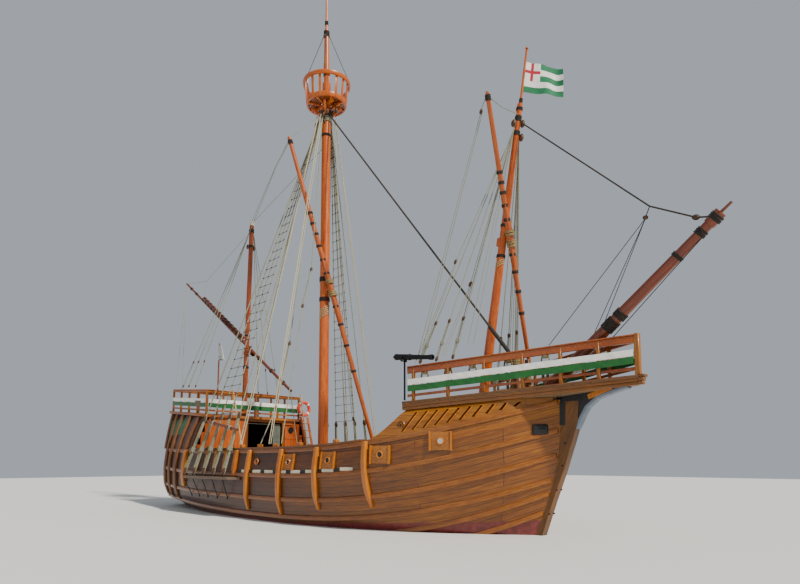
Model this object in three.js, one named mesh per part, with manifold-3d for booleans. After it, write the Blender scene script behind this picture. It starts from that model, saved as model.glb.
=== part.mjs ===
// A wooden three-masted sailing ship with a high forecastle and poop, sails unbent.
// Millimetres. +X points to the bow, +Y to port, +Z up.
// The origin is on the centreline amidships, at the waterline.
import * as THREE from "three";
import { mergeVertices } from "three/addons/utils/BufferGeometryUtils.js";
import Module from "manifold-3d";

const wasm = await Module();
wasm.setup();

// Driving dimensions
const seam = 0.4;                 // gap left where two pieces touch
const midX = 300;                 // station of the widest frame
const maxHalfBeam = 3100;
const widestZ = 1200;             // height of the widest point of the midship frame
const stemHalf = 110;             // half thickness of keel, stem and sternpost
const keelBottomZ = -2100;
const deckZ = 1350;               // main deck
const bulwarkThick = 140;
const sternX = -8650;             // aft face of the planking at the waterline
const sternRake = 0.1;            // the stern leans aft by this much of its height
const poopFrontX = -5100;
const poopSlope = 0.092;          // the poop deck rises aft
const poopUnderZ = 3600;          // underside of the poop deck at its front
const poopDeckThick = 90;
const castleAft = { x: 5640, half: 2000, z: 3450 };    // aft corner of the forecastle platform
const castleTipX = 11390;
const castleSlope = 0.0643;
const castleThick = 220;
const mainMast = { foot: [-450, 0, deckZ], head: [-550, 0, 16500], footR: 190, headR: 165 };
const foreMast = { foot: [6800, 0, 3500], head: [8270, 0, 11760], footR: 145, headR: 75 };
const mizzenMast = { foot: [-6035, 0, 3740], head: [-5830, 0, 12430], footR: 112, headR: 95 };
const nestZ = 15560;
const channelZ = 1335;

const finishes = {
  hullWood: [0x8a4a1c, 0.45], darkWood: [0x3a2214, 0.6], deckWood: [0xa8835a, 0.7],
  mastWood: [0xc8641e, 0.35], sparWood: [0x8c3f1c, 0.4], railWood: [0xb8621f, 0.4],
  rope: [0x6b6a55, 0.9], tarredRope: [0x25221f, 0.9], iron: [0x1c1c1e, 0.5],
  cloth: [0xf0f0ea, 0.9], doorWood: [0xd4561c, 0.4], ring: [0xd83a1e, 0.6],
};

const ship = new THREE.Group();
const V = (x, y, z) => new THREE.Vector3(x, y, z);
const at = (a) => V(a[0], a[1], a[2]);

// Solids and their joins
function solidOf(geometry) {
  const bare = geometry.clone();
  bare.deleteAttribute("normal");
  bare.deleteAttribute("uv");
  const merged = mergeVertices(bare, 0.01);
  return new wasm.Manifold(new wasm.Mesh({
    numProp: 3,
    vertProperties: new Float32Array(merged.attributes.position.array),
    triVerts: new Uint32Array(merged.index.array),
  }));
}

function geometryOf(solid) {
  const mesh = solid.getMesh();
  const geometry = new THREE.BufferGeometry();
  geometry.setAttribute("position", new THREE.BufferAttribute(new Float32Array(mesh.vertProperties), 3));
  geometry.setIndex(new THREE.BufferAttribute(new Uint32Array(mesh.triVerts), 1));
  geometry.computeVertexNormals();
  return geometry;
}

function joined(solids) {
  return solids.reduce((whole, piece) => whole.add(piece));
}

// Cuts a piece back from another, leaving the seam gap in the directions given.
function clearOf(piece, other, directions) {
  let cut = piece.subtract(other);
  for (const [x, y, z] of directions) {
    cut = cut.subtract(other.translate([x * seam, y * seam, z * seam]));
  }
  return cut;
}

const sideways = [[0, 1, 0], [0, -1, 0]];
const foreAndAft = [[1, 0, 0], [-1, 0, 0]];
const upward = [[0, 0, 1]];
const downward = [[0, 0, -1]];
const allRound = [...sideways, ...foreAndAft, ...upward, ...downward];

// Keeps a piece's body and drops the thin shavings that a cut can leave beside it.
function withoutShavings(name, solid) {
  const bodies = solid.decompose().sort((a, b) => b.volume() - a.volume());
  const dropped = bodies.slice(1).reduce((sum, body) => sum + body.volume(), 0);
  if (dropped > 0.01 * bodies[0].volume()) throw new Error(`${name} is in ${bodies.length} pieces`);
  return bodies[0];
}

function add(name, whole, finish) {
  const solid = withoutShavings(name, whole);
  const [color, roughness] = finishes[finish];
  const metalness = finish === "iron" ? 0.7 : 0;
  const material = new THREE.MeshStandardMaterial({ color, roughness, metalness });
  const mesh = new THREE.Mesh(geometryOf(solid), material);
  mesh.name = name;
  ship.add(mesh);
}

function box(low, high) {
  const size = at(high).sub(at(low));
  const geometry = new THREE.BoxGeometry(size.x, size.y, size.z);
  const middle = at(low).addScaledVector(size, 0.5);
  geometry.translate(middle.x, middle.y, middle.z);
  return solidOf(geometry);
}

// A round spar from one point to another; flats face the axes where it stands upright.
function spar(from, to, fromR, toR = fromR, sides = 12) {
  const a = at(from);
  const b = at(to);
  const geometry = new THREE.CylinderGeometry(toR, fromR, a.distanceTo(b), sides);
  geometry.rotateY(Math.PI / sides);
  const turn = new THREE.Quaternion().setFromUnitVectors(V(0, 1, 0), b.clone().sub(a).normalize());
  geometry.applyQuaternion(turn);
  const middle = a.add(b).multiplyScalar(0.5);
  geometry.translate(middle.x, middle.y, middle.z);
  return solidOf(geometry);
}

// A straight squared timber; its height stays in the upright plane that holds it.
function timber(from, to, wide, high) {
  const a = at(from);
  const b = at(to);
  const along = b.clone().sub(a);
  const geometry = new THREE.BoxGeometry(along.length(), wide, high);
  const ahead = along.normalize();
  const side = V(0, 0, 1).cross(ahead);
  if (side.length() < 1e-6) side.set(0, 1, 0);
  side.normalize();
  const up = ahead.clone().cross(side);
  geometry.applyMatrix4(new THREE.Matrix4().makeBasis(ahead, side, up));
  const middle = at(from).add(b).multiplyScalar(0.5);
  geometry.translate(middle.x, middle.y, middle.z);
  return solidOf(geometry);
}

// An outline in the X-Z plane, given thickness across the ship.
function plank(outline, half) {
  const shape = new THREE.Shape(outline.map(([x, z]) => new THREE.Vector2(x, z)));
  const geometry = new THREE.ExtrudeGeometry(shape, { depth: 2 * half, bevelEnabled: false });
  geometry.rotateX(Math.PI / 2);
  geometry.translate(0, half, 0);
  return solidOf(geometry);
}

// An outline in the X-Y plane, given height, and tilted so that it rises forward.
function slab(outline, low, high, slope, fromX) {
  const shape = new THREE.Shape(outline.map(([x, y]) => new THREE.Vector2(x, y)));
  const geometry = new THREE.ExtrudeGeometry(shape, { depth: high - low, bevelEnabled: false });
  const shear = new THREE.Matrix4().set(1, 0, 0, 0, 0, 1, 0, 0, slope, 0, 1, low - slope * fromX, 0, 0, 0, 1);
  geometry.applyMatrix4(shear);
  return solidOf(geometry);
}

// A flat ring square to its axis; foot is the middle of its lower face.
function hoop(foot, high, innerR, outerR, sides, axis = [0, 0, 1]) {
  const profile = [[innerR, 0], [outerR, 0], [outerR, high], [innerR, high], [innerR, 0]];
  const geometry = new THREE.LatheGeometry(profile.map(([r, z]) => new THREE.Vector2(r, z)), sides);
  geometry.applyQuaternion(new THREE.Quaternion().setFromUnitVectors(V(0, 1, 0), at(axis).normalize()));
  geometry.translate(foot[0], foot[1], foot[2]);
  return solidOf(geometry);
}

// Skins a row of rings. Each ring lists one side upward, then the other side downward.
function loft(rings) {
  const count = rings[0].length;
  const points = rings.flat();
  const faces = [];
  for (let i = 0; i + 1 < rings.length; i += 1) {
    for (let k = 0; k < count; k += 1) {
      const a = i * count + k;
      const b = i * count + (k + 1) % count;
      faces.push(a, b, b + count, a, b + count, a + count);
    }
  }
  const last = (rings.length - 1) * count;
  for (let k = 0; k + 1 < count / 2; k += 1) {
    const [a, b, c, d] = [k, k + 1, count - 2 - k, count - 1 - k];
    faces.push(a, c, b, a, d, c);
    faces.push(last + a, last + b, last + c, last + a, last + c, last + d);
  }
  let volume = 0;
  for (let f = 0; f < faces.length; f += 3) {
    const [a, b, c] = [at(points[faces[f]]), at(points[faces[f + 1]]), at(points[faces[f + 2]])];
    volume += a.dot(b.cross(c));
  }
  if (volume < 0) faces.reverse();
  const geometry = new THREE.BufferGeometry();
  geometry.setAttribute("position", new THREE.BufferAttribute(new Float32Array(points.flat()), 3));
  geometry.setIndex(faces);
  return solidOf(geometry);
}

// Straight-line reading of a table of [at, value] rows.
function read(table, where) {
  const last = table.length - 1;
  if (where <= table[0][0]) return table[0][1];
  if (where >= table[last][0]) return table[last][1];
  const i = table.findIndex(([from]) => from > where);
  const [[x0, y0], [x1, y1]] = [table[i - 1], table[i]];
  return y0 + (y1 - y0) * (where - x0) / (x1 - x0);
}

// The hull's lines. A strake runs from the stern to the stem and sweeps up at both ends.
const strakes = [
  // name, height at the stern, amidships and at the stem, station where it meets the stem
  { name: "garboard", stern: -1850, mid: -1850, stem: -1850, stemX: 5800 },
  { name: "floor", stern: -1300, mid: -1600, stem: -1200, stemX: 7650 },
  { name: "bilge", stern: -700, mid: -1250, stem: -500, stemX: 8270 },
  { name: "wale5", stern: -250, mid: -800, stem: 570, stemX: 8760 },
  { name: "wale4", stern: 100, mid: -300, stem: 1060, stemX: 8950 },
  { name: "wale3", stern: 500, mid: 200, stem: 1400, stemX: 9060 },
  { name: "wale2", stern: 1000, mid: 720, stem: 2010, stemX: 9210 },
  { name: "wale1", stern: 1650, mid: 1420, stem: 2630, stemX: 9280 },
  { name: "rail", stern: 2450, mid: 2250, stem: 3400, stemX: 9300 },
];
// Half breadth of the transom at each height
const transomHalf = [
  [-250, stemHalf], [100, 1300], [500, 2050], [1000, 2200], [1650, 2200], [2450, 2090], [3950, 1830],
];
const rabbet = strakes.map(({ stem, stemX }) => [stem, stemX]);
const foreSteps = [0, 0.18, 0.34, 0.48, 0.6, 0.7, 0.79, 0.87, 0.94, 1];
const aftSteps = [1, 0.93, 0.84, 0.72, 0.58, 0.4, 0.2];
const stations = [...aftSteps.map((s) => -s), ...foreSteps];
const sweep = { fore: 3, aft: 2.4 };

const sternAt = (z) => sternX - sternRake * z;

function halfBeam(z) {
  if (z > widestZ) return maxHalfBeam - 0.00013 * (z - widestZ) ** 2;
  const depth = Math.min((widestZ - z) / 3250, 1);
  return maxHalfBeam * (1 - depth ** 2.4) ** 0.625;
}

function hullHalf(x, z) {
  const beam = halfBeam(z);
  if (x >= midX) {
    const along = Math.min((x - midX) / (read(rabbet, z) - midX), 1);
    const fullness = 2.2 + (z > 0 ? 0.00072 : 0.0006) * z;
    return stemHalf + (beam - stemHalf) * (1 - along ** fullness);
  }
  const along = Math.min((midX - x) / (midX - sternAt(z)), 1);
  const fullness = 2.6 + 0.0005 * z;
  const end = read(transomHalf, z);
  return end + (beam - end) * (1 - along ** fullness);
}

// A point on a strake: step runs from -1 at the stern, through 0 amidships, to 1 at the stem.
function onStrake(strake, step, side, proud = 0, lift = 0) {
  const t = Math.abs(step);
  const z = step < 0
    ? strake.mid + (strake.stern - strake.mid) * t ** sweep.aft
    : strake.mid + (strake.stem - strake.mid) * t ** sweep.fore;
  const x = step < 0 ? midX - t * (midX - sternAt(strake.stern)) : midX + t * (strake.stemX - midX);
  const half = strake.name === "garboard" ? stemHalf : hullHalf(x, z);
  return [x, side * (half + proud), z + lift];
}

const strakeOf = (name) => strakes.find((strake) => strake.name === name);

function strakeZ(name, x) {
  const strake = strakeOf(name);
  const end = x < midX ? midX - sternAt(strake.stern) : strake.stemX - midX;
  const t = Math.min(Math.abs(x - midX) / end, 1);
  const tip = x < midX ? strake.stern : strake.stem;
  return strake.mid + (tip - strake.mid) * t ** (x < midX ? sweep.aft : sweep.fore);
}

// Hull, with its waist open down to the main deck
const hullBody = loft(stations.map((step) => [
  ...strakes.map((strake) => onStrake(strake, step, -1)),
  ...strakes.map((strake) => onStrake(strake, step, 1)).reverse(),
]));

const wellSteps = [-8480, -7800, -6600, -5100, -3200, -1200, 1200, 3200, 4800, 6000, 7000, 7800, 8450];
const wellTopZ = 5200;
const well = loft(wellSteps.map((x) => {
  const low = Math.max(hullHalf(x, deckZ) - bulwarkThick, 60);
  const high = Math.max(hullHalf(x, strakeZ("rail", x)) - bulwarkThick, 60);
  const railZ = strakeZ("rail", x);
  return [
    [x, -low, deckZ], [x, -high, railZ], [x, -high, wellTopZ],
    [x, high, wellTopZ], [x, high, railZ], [x, low, deckZ],
  ];
}));

const wale = { high: 130, proud: 55, root: 40 };

function waleSolid(name, side) {
  const strake = strakeOf(name);
  const top = name === "rail" ? 0 : wale.high / 2;
  return loft(stations.slice(1, -1).map((step) => [
    onStrake(strake, step, side, wale.proud, top - wale.high),
    onStrake(strake, step, side, wale.proud, top),
    onStrake(strake, step, side, -wale.root, top),
    onStrake(strake, step, side, -wale.root, top - wale.high),
  ]));
}

const riders = [
  // station, foot height, width, how far it stands out; those over the channels are short
  { x: 4960, foot: 620, wide: 150, proud: 120 },
  { x: 3140, foot: 480, wide: 150, proud: 120 },
  { x: 1430, foot: 260, wide: 150, proud: 120 },
  { x: -390, foot: 300, wide: 150, proud: 120 },
  { x: -1250, foot: channelZ + 5, wide: 180, proud: 100 },
  { x: -2000, foot: channelZ + 5, wide: 110, proud: 70 },
  { x: -2700, foot: channelZ + 5, wide: 110, proud: 70 },
  { x: -3400, foot: channelZ + 5, wide: 110, proud: 70 },
  { x: -4100, foot: channelZ + 5, wide: 110, proud: 70 },
  { x: -5300, foot: 900, wide: 240, proud: 120 },
  { x: -6300, foot: 350, wide: 200, proud: 100 },
  { x: -7200, foot: 350, wide: 200, proud: 100 },
  { x: -8000, foot: 450, wide: 200, proud: 100 },
].map((rider) => ({ ...rider, head: strakeZ("rail", rider.x) - 20 }));

const boardRoot = 60;             // how deep an upright board is let into the planking
const beyondSide = 3500;          // half breadth that reaches past the hull's sides

// A timber or board that stands up the side of the hull and bends with it
function uprightSolid({ x, foot, head, wide, proud }, side) {
  const levels = [0, 0.25, 0.5, 0.75, 1].map((f) => foot + f * (head - foot));
  const aft = x - wide / 2;
  const fore = x + wide / 2;
  return loft(levels.map((z) => {
    const [aftHalf, foreHalf] = [hullHalf(aft, z), hullHalf(fore, z)];
    return [
      [aft, side * (aftHalf + proud), z], [aft, side * (aftHalf - boardRoot), z],
      [fore, side * (foreHalf - boardRoot), z], [fore, side * (foreHalf + proud), z],
    ];
  }));
}

// Gunport lids, and the round holes through them; the foremost is blind
const portLid = { high: 470, proud: 45, holeR: 75 };
const portLids = [
  // station, height of the middle, width
  { x: 1840, z: 1830, wide: 560 },
  { x: 3620, z: 1880, wide: 560 },
  { x: 5420, z: 2030, wide: 620 },
  { x: 7000, z: 2370, wide: 460 },
].map(({ x, z, wide }) => ({
  x, wide, proud: portLid.proud, foot: z - portLid.high / 2, head: z + portLid.high / 2,
}));
const portHoles = [[100, 1840], [1840, 1830], [3620, 1880], [5420, 2030]].map(([x, z]) => (
  spar([x, -beyondSide, z], [x, beyondSide, z], portLid.holeR)
));

// Freeing ports: low slots through the bulwark, over the upper wale
const freeing = { fromX: -1050, pitch: 700, count: 8, wide: 240, high: 95, overWale: 68 };
const freeingPorts = [];
for (let i = 0; i < freeing.count; i += 1) {
  const x = freeing.fromX + i * freeing.pitch;
  const low = strakeZ("wale1", x) + freeing.overWale;
  freeingPorts.push(box([x, -beyondSide, low], [x + freeing.wide, beyondSide, low + freeing.high]));
}

// Kevel heads: short blocks on the rail that ropes are made fast to
const kevel = { halfLong: 85, inner: 132, outer: 12, sunk: 40, high: 105 };
const kevelStations = [-3600, -2700, -1900, -1150, -50, 850, 2150, 3750];

function kevelSolid(x, side) {
  const railZ = strakeZ("rail", x);
  const ys = [kevel.inner, kevel.outer].map((inset) => side * (hullHalf(x, railZ) - inset));
  return box(
    [x - kevel.halfLong, Math.min(...ys), railZ - kevel.sunk],
    [x + kevel.halfLong, Math.max(...ys), railZ + kevel.high],
  );
}

// Hawse holes, one each side of the bow
const hawse = { x: 8920, z: 2630, r: 120, deep: 140, ahead: 100, reach: 400 };

function hawseHole(side) {
  const half = hullHalf(hawse.x, hawse.z);
  const inner = [hawse.x, side * (half - hawse.deep), hawse.z];
  return spar(inner, [hawse.x + hawse.ahead, side * (half + hawse.reach), hawse.z], hawse.r);
}

const waleNames = ["wale5", "wale4", "wale3", "wale2", "wale1", "rail"];
const planked = joined([
  hullBody,
  ...[-1, 1].flatMap((side) => waleNames.map((name) => waleSolid(name, side))),
  ...[-1, 1].flatMap((side) => [...riders, ...portLids].map((board) => uprightSolid(board, side))),
]).subtract(joined([well, ...portHoles, ...freeingPorts, hawseHole(-1), hawseHole(1)]));
const hull = joined([planked, ...[-1, 1].flatMap((side) => kevelStations.map((x) => kevelSolid(x, side)))]);
add("hull", hull, "hullWood");
const belowDeck = box([-9000, -3000, deckZ - 900], [9000, 3000, deckZ + seam]);

// Keel, stem and beak
const keel = plank([
  [sternAt(-1850) + 5, -1850 - seam], [sternAt(-1850) + 5, keelBottomZ],
  [5790, keelBottomZ], [5790, -1850 - seam],
], stemHalf);
add("keel", keel, "darkWood");

const cutwater = [
  [5791, keelBottomZ], [7300, -1870], [8000, -1300], [8420, -620], [8680, 0], [9010, 850],
  [9340, 1640], [9620, 2400], [9760, 2800], [9800, 3330],
];
const stemInner = rabbet.map(([z, x]) => [x + seam, z - seam]);
const stem = plank([
  ...cutwater, [9300.5, 3330], ...stemInner.slice(1, -1).reverse(), [5791, -1850 - seam],
], stemHalf);
const stemClear = clearOf(stem, hull, [[1, 0, 0], [0, 0, -1]]);
add("stem", stemClear, "darkWood");

const castleTop = (x) => castleAft.z + castleSlope * (x - castleAft.x);
const castleUnder = (x) => castleTop(x) - castleThick;
const kneeOutline = [
  [9712, 2650], [9880, 2950], [10010, 3160], [10270, 3350], [10700, 3480], [11050, 3560],
  [11050, castleUnder(11050) - seam], [9300.5, castleUnder(9300.5) - seam], [9300.5, 3331],
  [9801, 3331], [9761, 2800],
];
const beakKnee = clearOf(plank(kneeOutline, 95), stemClear, [[1, 0, 0], [0, 0, 1]]);
add("beak_knee", beakKnee, "iron");

// Sternpost and rudder, built upright and then leaned with the stern
const sternLean = new THREE.Matrix4().makeTranslation(sternAt(0), 0, 0)
  .multiply(new THREE.Matrix4().makeRotationY(-Math.atan(sternRake)));

function leaned(solid) {
  const geometry = geometryOf(solid);
  geometry.applyMatrix4(sternLean);
  return solidOf(geometry);
}

const rudder = {
  axisX: -380, postAft: -290, thick: 120, foot: -2050, head: 3250, broad: 950, narrow: 380,
};
const gudgeons = [-1700, -500, 700, 1900];      // height of each gudgeon's underside
const gudgeon = { high: 110, half: 75, reach: -450 };
const postSolid = joined([
  box([rudder.postAft, -stemHalf, -2080], [-seam - 5, stemHalf, 2500]),
  ...gudgeons.map((z) => box(
    [gudgeon.reach, -gudgeon.half, z], [rudder.postAft + 5, gudgeon.half, z + gudgeon.high],
  )),
]);
const sternpost = clearOf(leaned(postSolid), hull, [[-1, 0, 0], [0, 0, -1]]);
add("sternpost", clearOf(sternpost, keel, [[-1, 0, 0]]), "darkWood");

const bladeOutline = [
  [rudder.axisX, rudder.foot], [rudder.axisX, rudder.head],
  [rudder.axisX - rudder.narrow, rudder.head], [rudder.axisX - rudder.narrow, 1900],
  [rudder.axisX - rudder.broad + 150, 300], [rudder.axisX - rudder.broad, -900],
  [rudder.axisX - rudder.broad, rudder.foot],
];
const bladeNotches = gudgeons.map((z) => box(
  [gudgeon.reach - 60, -200, z - 25], [rudder.axisX + 100, 200, z + gudgeon.high + seam],
));
const blade = joined([
  plank(bladeOutline, rudder.thick / 2),
  spar([rudder.axisX, 0, rudder.foot], [rudder.axisX, 0, rudder.head], rudder.thick / 2),
]).subtract(joined(bladeNotches));
add("rudder", leaned(blade), "hullWood");

const tillerZ = 2900;
const tiller = timber([rudder.axisX + 60.5, 0, tillerZ], [1650, 0, tillerZ - 60], 90, 110);
add("tiller", leaned(tiller), "sparWood");

// Poop: side planking and transom, open at the front, under a deck
const poopUnder = (x) => poopUnderZ + poopSlope * (poopFrontX - x);
const poopSkin = 110;
const railSteps = stations.map((step) => onStrake(strakeOf("rail"), step, 1)[0]);
const poopSteps = [...railSteps.filter((x) => x < poopFrontX - 300 && x > -8800), poopFrontX];

function poopRing(x, inset, bottom, top) {
  const shift = (z) => (x < -8800 ? sternAt(z) : x);
  const lowZ = strakeZ("rail", x) + bottom;
  const highZ = poopUnder(x) + top;
  const ring = [lowZ, (lowZ + highZ) / 2, highZ].map((z) => [shift(z), hullHalf(shift(z), z) - inset, z]);
  return [...ring.map(([px, py, pz]) => [px, -py, pz]), ...ring.reverse()];
}

const poopOuter = loft([-8900, ...poopSteps].map((x) => poopRing(x, 0, -60, 0)));
const poopInner = loft([-8780, ...poopSteps.slice(1), poopFrontX + 300].map((x) => {
  const ring = poopRing(x, poopSkin, -900, 400);
  return ring.map(([, y, z]) => [x, y, z]);
}));
const tillerPort = box([-9300, -400, 2720], [-8400, 400, 3120]);
const sternWindows = [-1150, 1150].map((y) => box([-9300, y - 220, 3000], [-8600, y + 220, 3420]));
// Everything below the hull's rail, to cut the castles' feet to its sweep
const belowRail = loft(stations.map((step) => {
  const [x, , z] = onStrake(strakeOf("rail"), step, 1);
  return [[x, -4000, -3000], [x, -4000, z + seam], [x, 4000, z + seam], [x, 4000, -3000]];
}));
// Timbers that carry the riders up the poop's sides, to the deck's underside
const poopTimber = { wide: 160, proud: 90, sunk: 50 };
const poopTimbers = [-8000, -7200, -6300, -5450].map((x) => ({
  ...poopTimber, x, foot: strakeZ("rail", x) - poopTimber.sunk, head: poopUnder(x + poopTimber.wide / 2) - 1,
}));
const poopShell = poopOuter.subtract(poopInner).subtract(joined([tillerPort, ...sternWindows]))
  .add(joined([-1, 1].flatMap((side) => poopTimbers.map((board) => uprightSolid(board, side)))));
add("poop_shell", poopShell.subtract(belowRail), "hullWood");

function poopEdge(x, out) {
  return hullHalf(x, poopUnder(x)) + out;
}

const poopDeckX = { front: poopFrontX + 60, back: -9130 };
const deckStations = [poopDeckX.front, -6600, -8000, poopDeckX.back];
const poopDeckOutline = [
  ...deckStations.map((x) => [x, -poopEdge(Math.max(x, -8990), 60)]),
  ...deckStations.map((x) => [x, poopEdge(Math.max(x, -8990), 60)]).reverse(),
];
const poopDeck = clearOf(slab(
  poopDeckOutline, poopUnderZ + seam, poopUnderZ + poopDeckThick, -poopSlope, poopFrontX,
), leaned(blade), [[0, 0, 1]]);
add("poop_deck", poopDeck, "deckWood");

// Bulkhead at the front of the cabin, with its doorway and one leaf folded back
const doorway = { low: -360, high: 1430, sill: 1500, head: 3500 };
const leaf = { wide: 765, thick: 50, hingeX: -5060, hingeY: 1435, low: 1500, high: 3480 };
const port = { r: 100, y: 1750, z: 3200 };      // round light in the leaf
const bulkheadRoom = loft([-5180, poopFrontX].map((x) => {
  const levels = [deckZ + seam, 2200, 3000, poopUnder(x) - seam];
  const ring = levels.map((z) => [x, hullHalf(x, z) - bulwarkThick - 45, z]);
  return [...ring.map(([px, py, pz]) => [px, -py, pz]), ...ring.reverse()];
}));
const hingeBlocks = [
  box([poopFrontX - 10, 1405, leaf.low - 80], [-5035, 1465, leaf.low - seam]),
  box([poopFrontX - 10, 1405, leaf.high + 6], [-5035, 1465, leaf.high + 70]),
];
const bulkhead = joined([bulkheadRoom, ...hingeBlocks])
  .subtract(box([-5300, doorway.low, doorway.sill], [-5000, doorway.high - 40, doorway.head]));
add("poop_bulkhead", bulkhead, "railWood");

const leafSolid = box(
  [leaf.hingeX - leaf.thick / 2, leaf.hingeY + 5, leaf.low],
  [leaf.hingeX + leaf.thick / 2, leaf.hingeY + 5 + leaf.wide, leaf.high],
);
const porthole = spar([-5200, port.y, port.z], [-4900, port.y, port.z], port.r, port.r, 16);
const leafPin = spar([leaf.hingeX, leaf.hingeY, leaf.low], [leaf.hingeX, leaf.hingeY, leaf.high], 20, 20, 8);
add("cabin_door", joined([leafSolid, leafPin]).subtract(porthole), "doorWood");

// Rails: posts, a top rail and a thin rail along each run
const railHigh = 1000;
const postHalf = 40;

function railRun(from, to, posts, topWide, topHigh, lift = railHigh) {
  const a = at(from);
  const b = at(to);
  const point = (f, z) => a.clone().lerp(b, f).add(V(0, 0, z)).toArray();
  return [
    timber(point(0, lift - topHigh / 2), point(1, lift - topHigh / 2), topWide, topHigh),
    timber(point(0, 170), point(1, 170), 44, 70),
    ...posts.map((f) => {
      const [x, y, z] = point(f, 0);
      return box([x - postHalf, y - postHalf, z - 60], [x + postHalf, y + postHalf, z + lift - 35]);
    }),
  ];
}

const poopTop = (x) => poopUnder(x) + poopDeckThick;
const poopCorner = {
  front: [poopFrontX - 20, 2200, poopTop(poopFrontX - 20)],
  back: [-8990, 1800, poopTop(-8990)],
};
const flip = ([x, y, z]) => [x, -y, z];
const poopRail = clearOf(joined([
  ...railRun(poopCorner.front, poopCorner.back, [0, 0.25, 0.5, 0.75, 1], 112, 120),
  ...railRun(flip(poopCorner.front), flip(poopCorner.back), [0, 0.25, 0.5, 0.75, 1], 112, 120),
  ...railRun(poopCorner.front, flip(poopCorner.front), [0.25, 0.5, 0.75], 112, 120),
  ...railRun(poopCorner.back, flip(poopCorner.back), [0.33, 0.67], 112, 120),
]), poopDeck, upward);
add("poop_rail", poopRail, "railWood");

// A strip of cloth stretched along the outside of a rail
const clothThick = 12;

function clothStrip(from, to, outward, lowZ, highZ) {
  const [a, b] = [at(from), at(to)];
  const lift = (highZ + lowZ) / 2;
  const reach = postHalf * (Math.abs(outward[0]) + Math.abs(outward[1]));
  const shift = at(outward).multiplyScalar(reach + clothThick / 2 + seam);
  const base = (p) => p.clone().add(shift).add(V(0, 0, lift)).toArray();
  return timber(base(a), base(b), clothThick, highZ - lowZ);
}

const poopBand = { low: 290, high: 640 };
const poopSide = at(poopCorner.front).sub(at(poopCorner.back)).setZ(0).normalize();
const poopOut = [-poopSide.y, poopSide.x, 0];
for (const [name, mirror] of [["port", (p) => p], ["starboard", flip]]) {
  const strip = clothStrip(
    mirror(poopCorner.front), mirror(poopCorner.back), mirror(poopOut), poopBand.low, poopBand.high,
  );
  add(`poop_cloth_${name}`, clearOf(strip, poopRail, sideways), "cloth");
}
const [frontX, , frontZ] = poopCorner.front;
const frontStrip = clothStrip(
  [frontX, 2150, frontZ], [frontX, -2150, frontZ], [1, 0, 0], poopBand.low, poopBand.high,
);
add("poop_cloth_front", clearOf(frontStrip, poopRail, foreAndAft), "cloth");

// Forecastle: a three-cornered platform that overhangs the bow, on slatted side walls
const castleHalf = (x) => castleAft.half * (castleTipX - x) / (castleTipX - castleAft.x);
const castleOutline = (out) => [
  [castleAft.x, -castleAft.half - out], [castleTipX - 140, -castleHalf(castleTipX - 140) - out],
  [castleTipX + out, -20], [castleTipX + out, 20],
  [castleTipX - 140, castleHalf(castleTipX - 140) + out], [castleAft.x, castleAft.half + out],
];
const castleCap = { out: 40, thick: 60 };       // the upper edge stands out over the beam under it
const castleSlab = (out, low, high) => (
  slab(castleOutline(out), castleAft.z - low, castleAft.z - high, castleSlope, castleAft.x)
);
const castleBeam = castleSlab(0, castleThick, castleCap.thick / 2);
const castleDeck = castleBeam.add(castleSlab(castleCap.out, castleCap.thick, 0));
add("forecastle_deck", castleDeck, "deckWood");

const bracket = { fromX: 4870, power: 2.2 };    // the wall sweeps up to the platform from here
const wallThick = 90;
const railForeSteps = foreSteps.map((s) => onStrake(strakeOf("rail"), s, 1)[0]);
const wallSteps = [
  bracket.fromX, 5150, 5400, castleAft.x, ...railForeSteps.filter((x) => x > 5700 && x < 9200), 9240,
];

function wallRing(x, side) {
  const low = strakeZ("rail", x);
  const forward = (x - bracket.fromX) / (castleAft.x - bracket.fromX);
  const rise = Math.min(Math.max(forward, 0.02), 1) ** bracket.power;
  const high = low + (castleUnder(x) - seam - low) * Math.max(rise, 0.03);
  const outer = hullHalf(x, low);
  const under = Math.min(castleHalf(x) - 50, hullHalf(x, castleUnder(x)));
  const lean = outer + (Math.max(under, stemHalf) - outer) * Math.max(rise, 0.03);
  return [
    [x, side * outer, low - 60], [x, side * lean, high],
    [x, side * (lean - wallThick), high], [x, side * (outer - wallThick), low - 60],
  ];
}

const slat = { count: 10, fromX: 5960, pitch: 285, wide: 70, margin: 90 };
const slats = [];
for (let i = 0; i < slat.count; i += 1) {
  const x = slat.fromX + i * slat.pitch;
  const low = strakeZ("rail", x) + slat.margin;
  const high = castleUnder(x) - slat.margin;
  slats.push(box([x, -3000, low], [x + slat.wide, 3000, high]));
}
const breastHook = slab([[8950, -440], [9240, -150], [9240, 150], [8950, 440]], 3345, 3430, 0, 0);
const castleWalls = joined([-1, 1].map((side) => loft(wallSteps.map((x) => wallRing(x, side)))))
  .add(breastHook).subtract(joined(slats)).subtract(belowRail);
add("forecastle_walls", castleWalls, "hullWood");

const castleRailHigh = 970;
const castleCorner = [castleAft.x + 70, castleAft.half - 110, castleTop(castleAft.x + 70)];
const castleNose = [castleTipX - 110, 0, castleTop(castleTipX - 110)];
const castlePosts = [0.03, 0.2, 0.37, 0.54, 0.7, 0.85];
const castleRail = clearOf(joined([
  ...railRun(castleCorner, castleNose, castlePosts, 112, 200, castleRailHigh),
  ...railRun(flip(castleCorner), castleNose, castlePosts, 112, 200, castleRailHigh),
  box(
    [castleNose[0] - 70, -70, castleNose[2] - 60], [castleNose[0] + 50, 70, castleNose[2] + castleRailHigh],
  ),
]), castleDeck, [...upward, ...sideways, ...foreAndAft]);
add("forecastle_rail", castleRail, "railWood");

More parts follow.
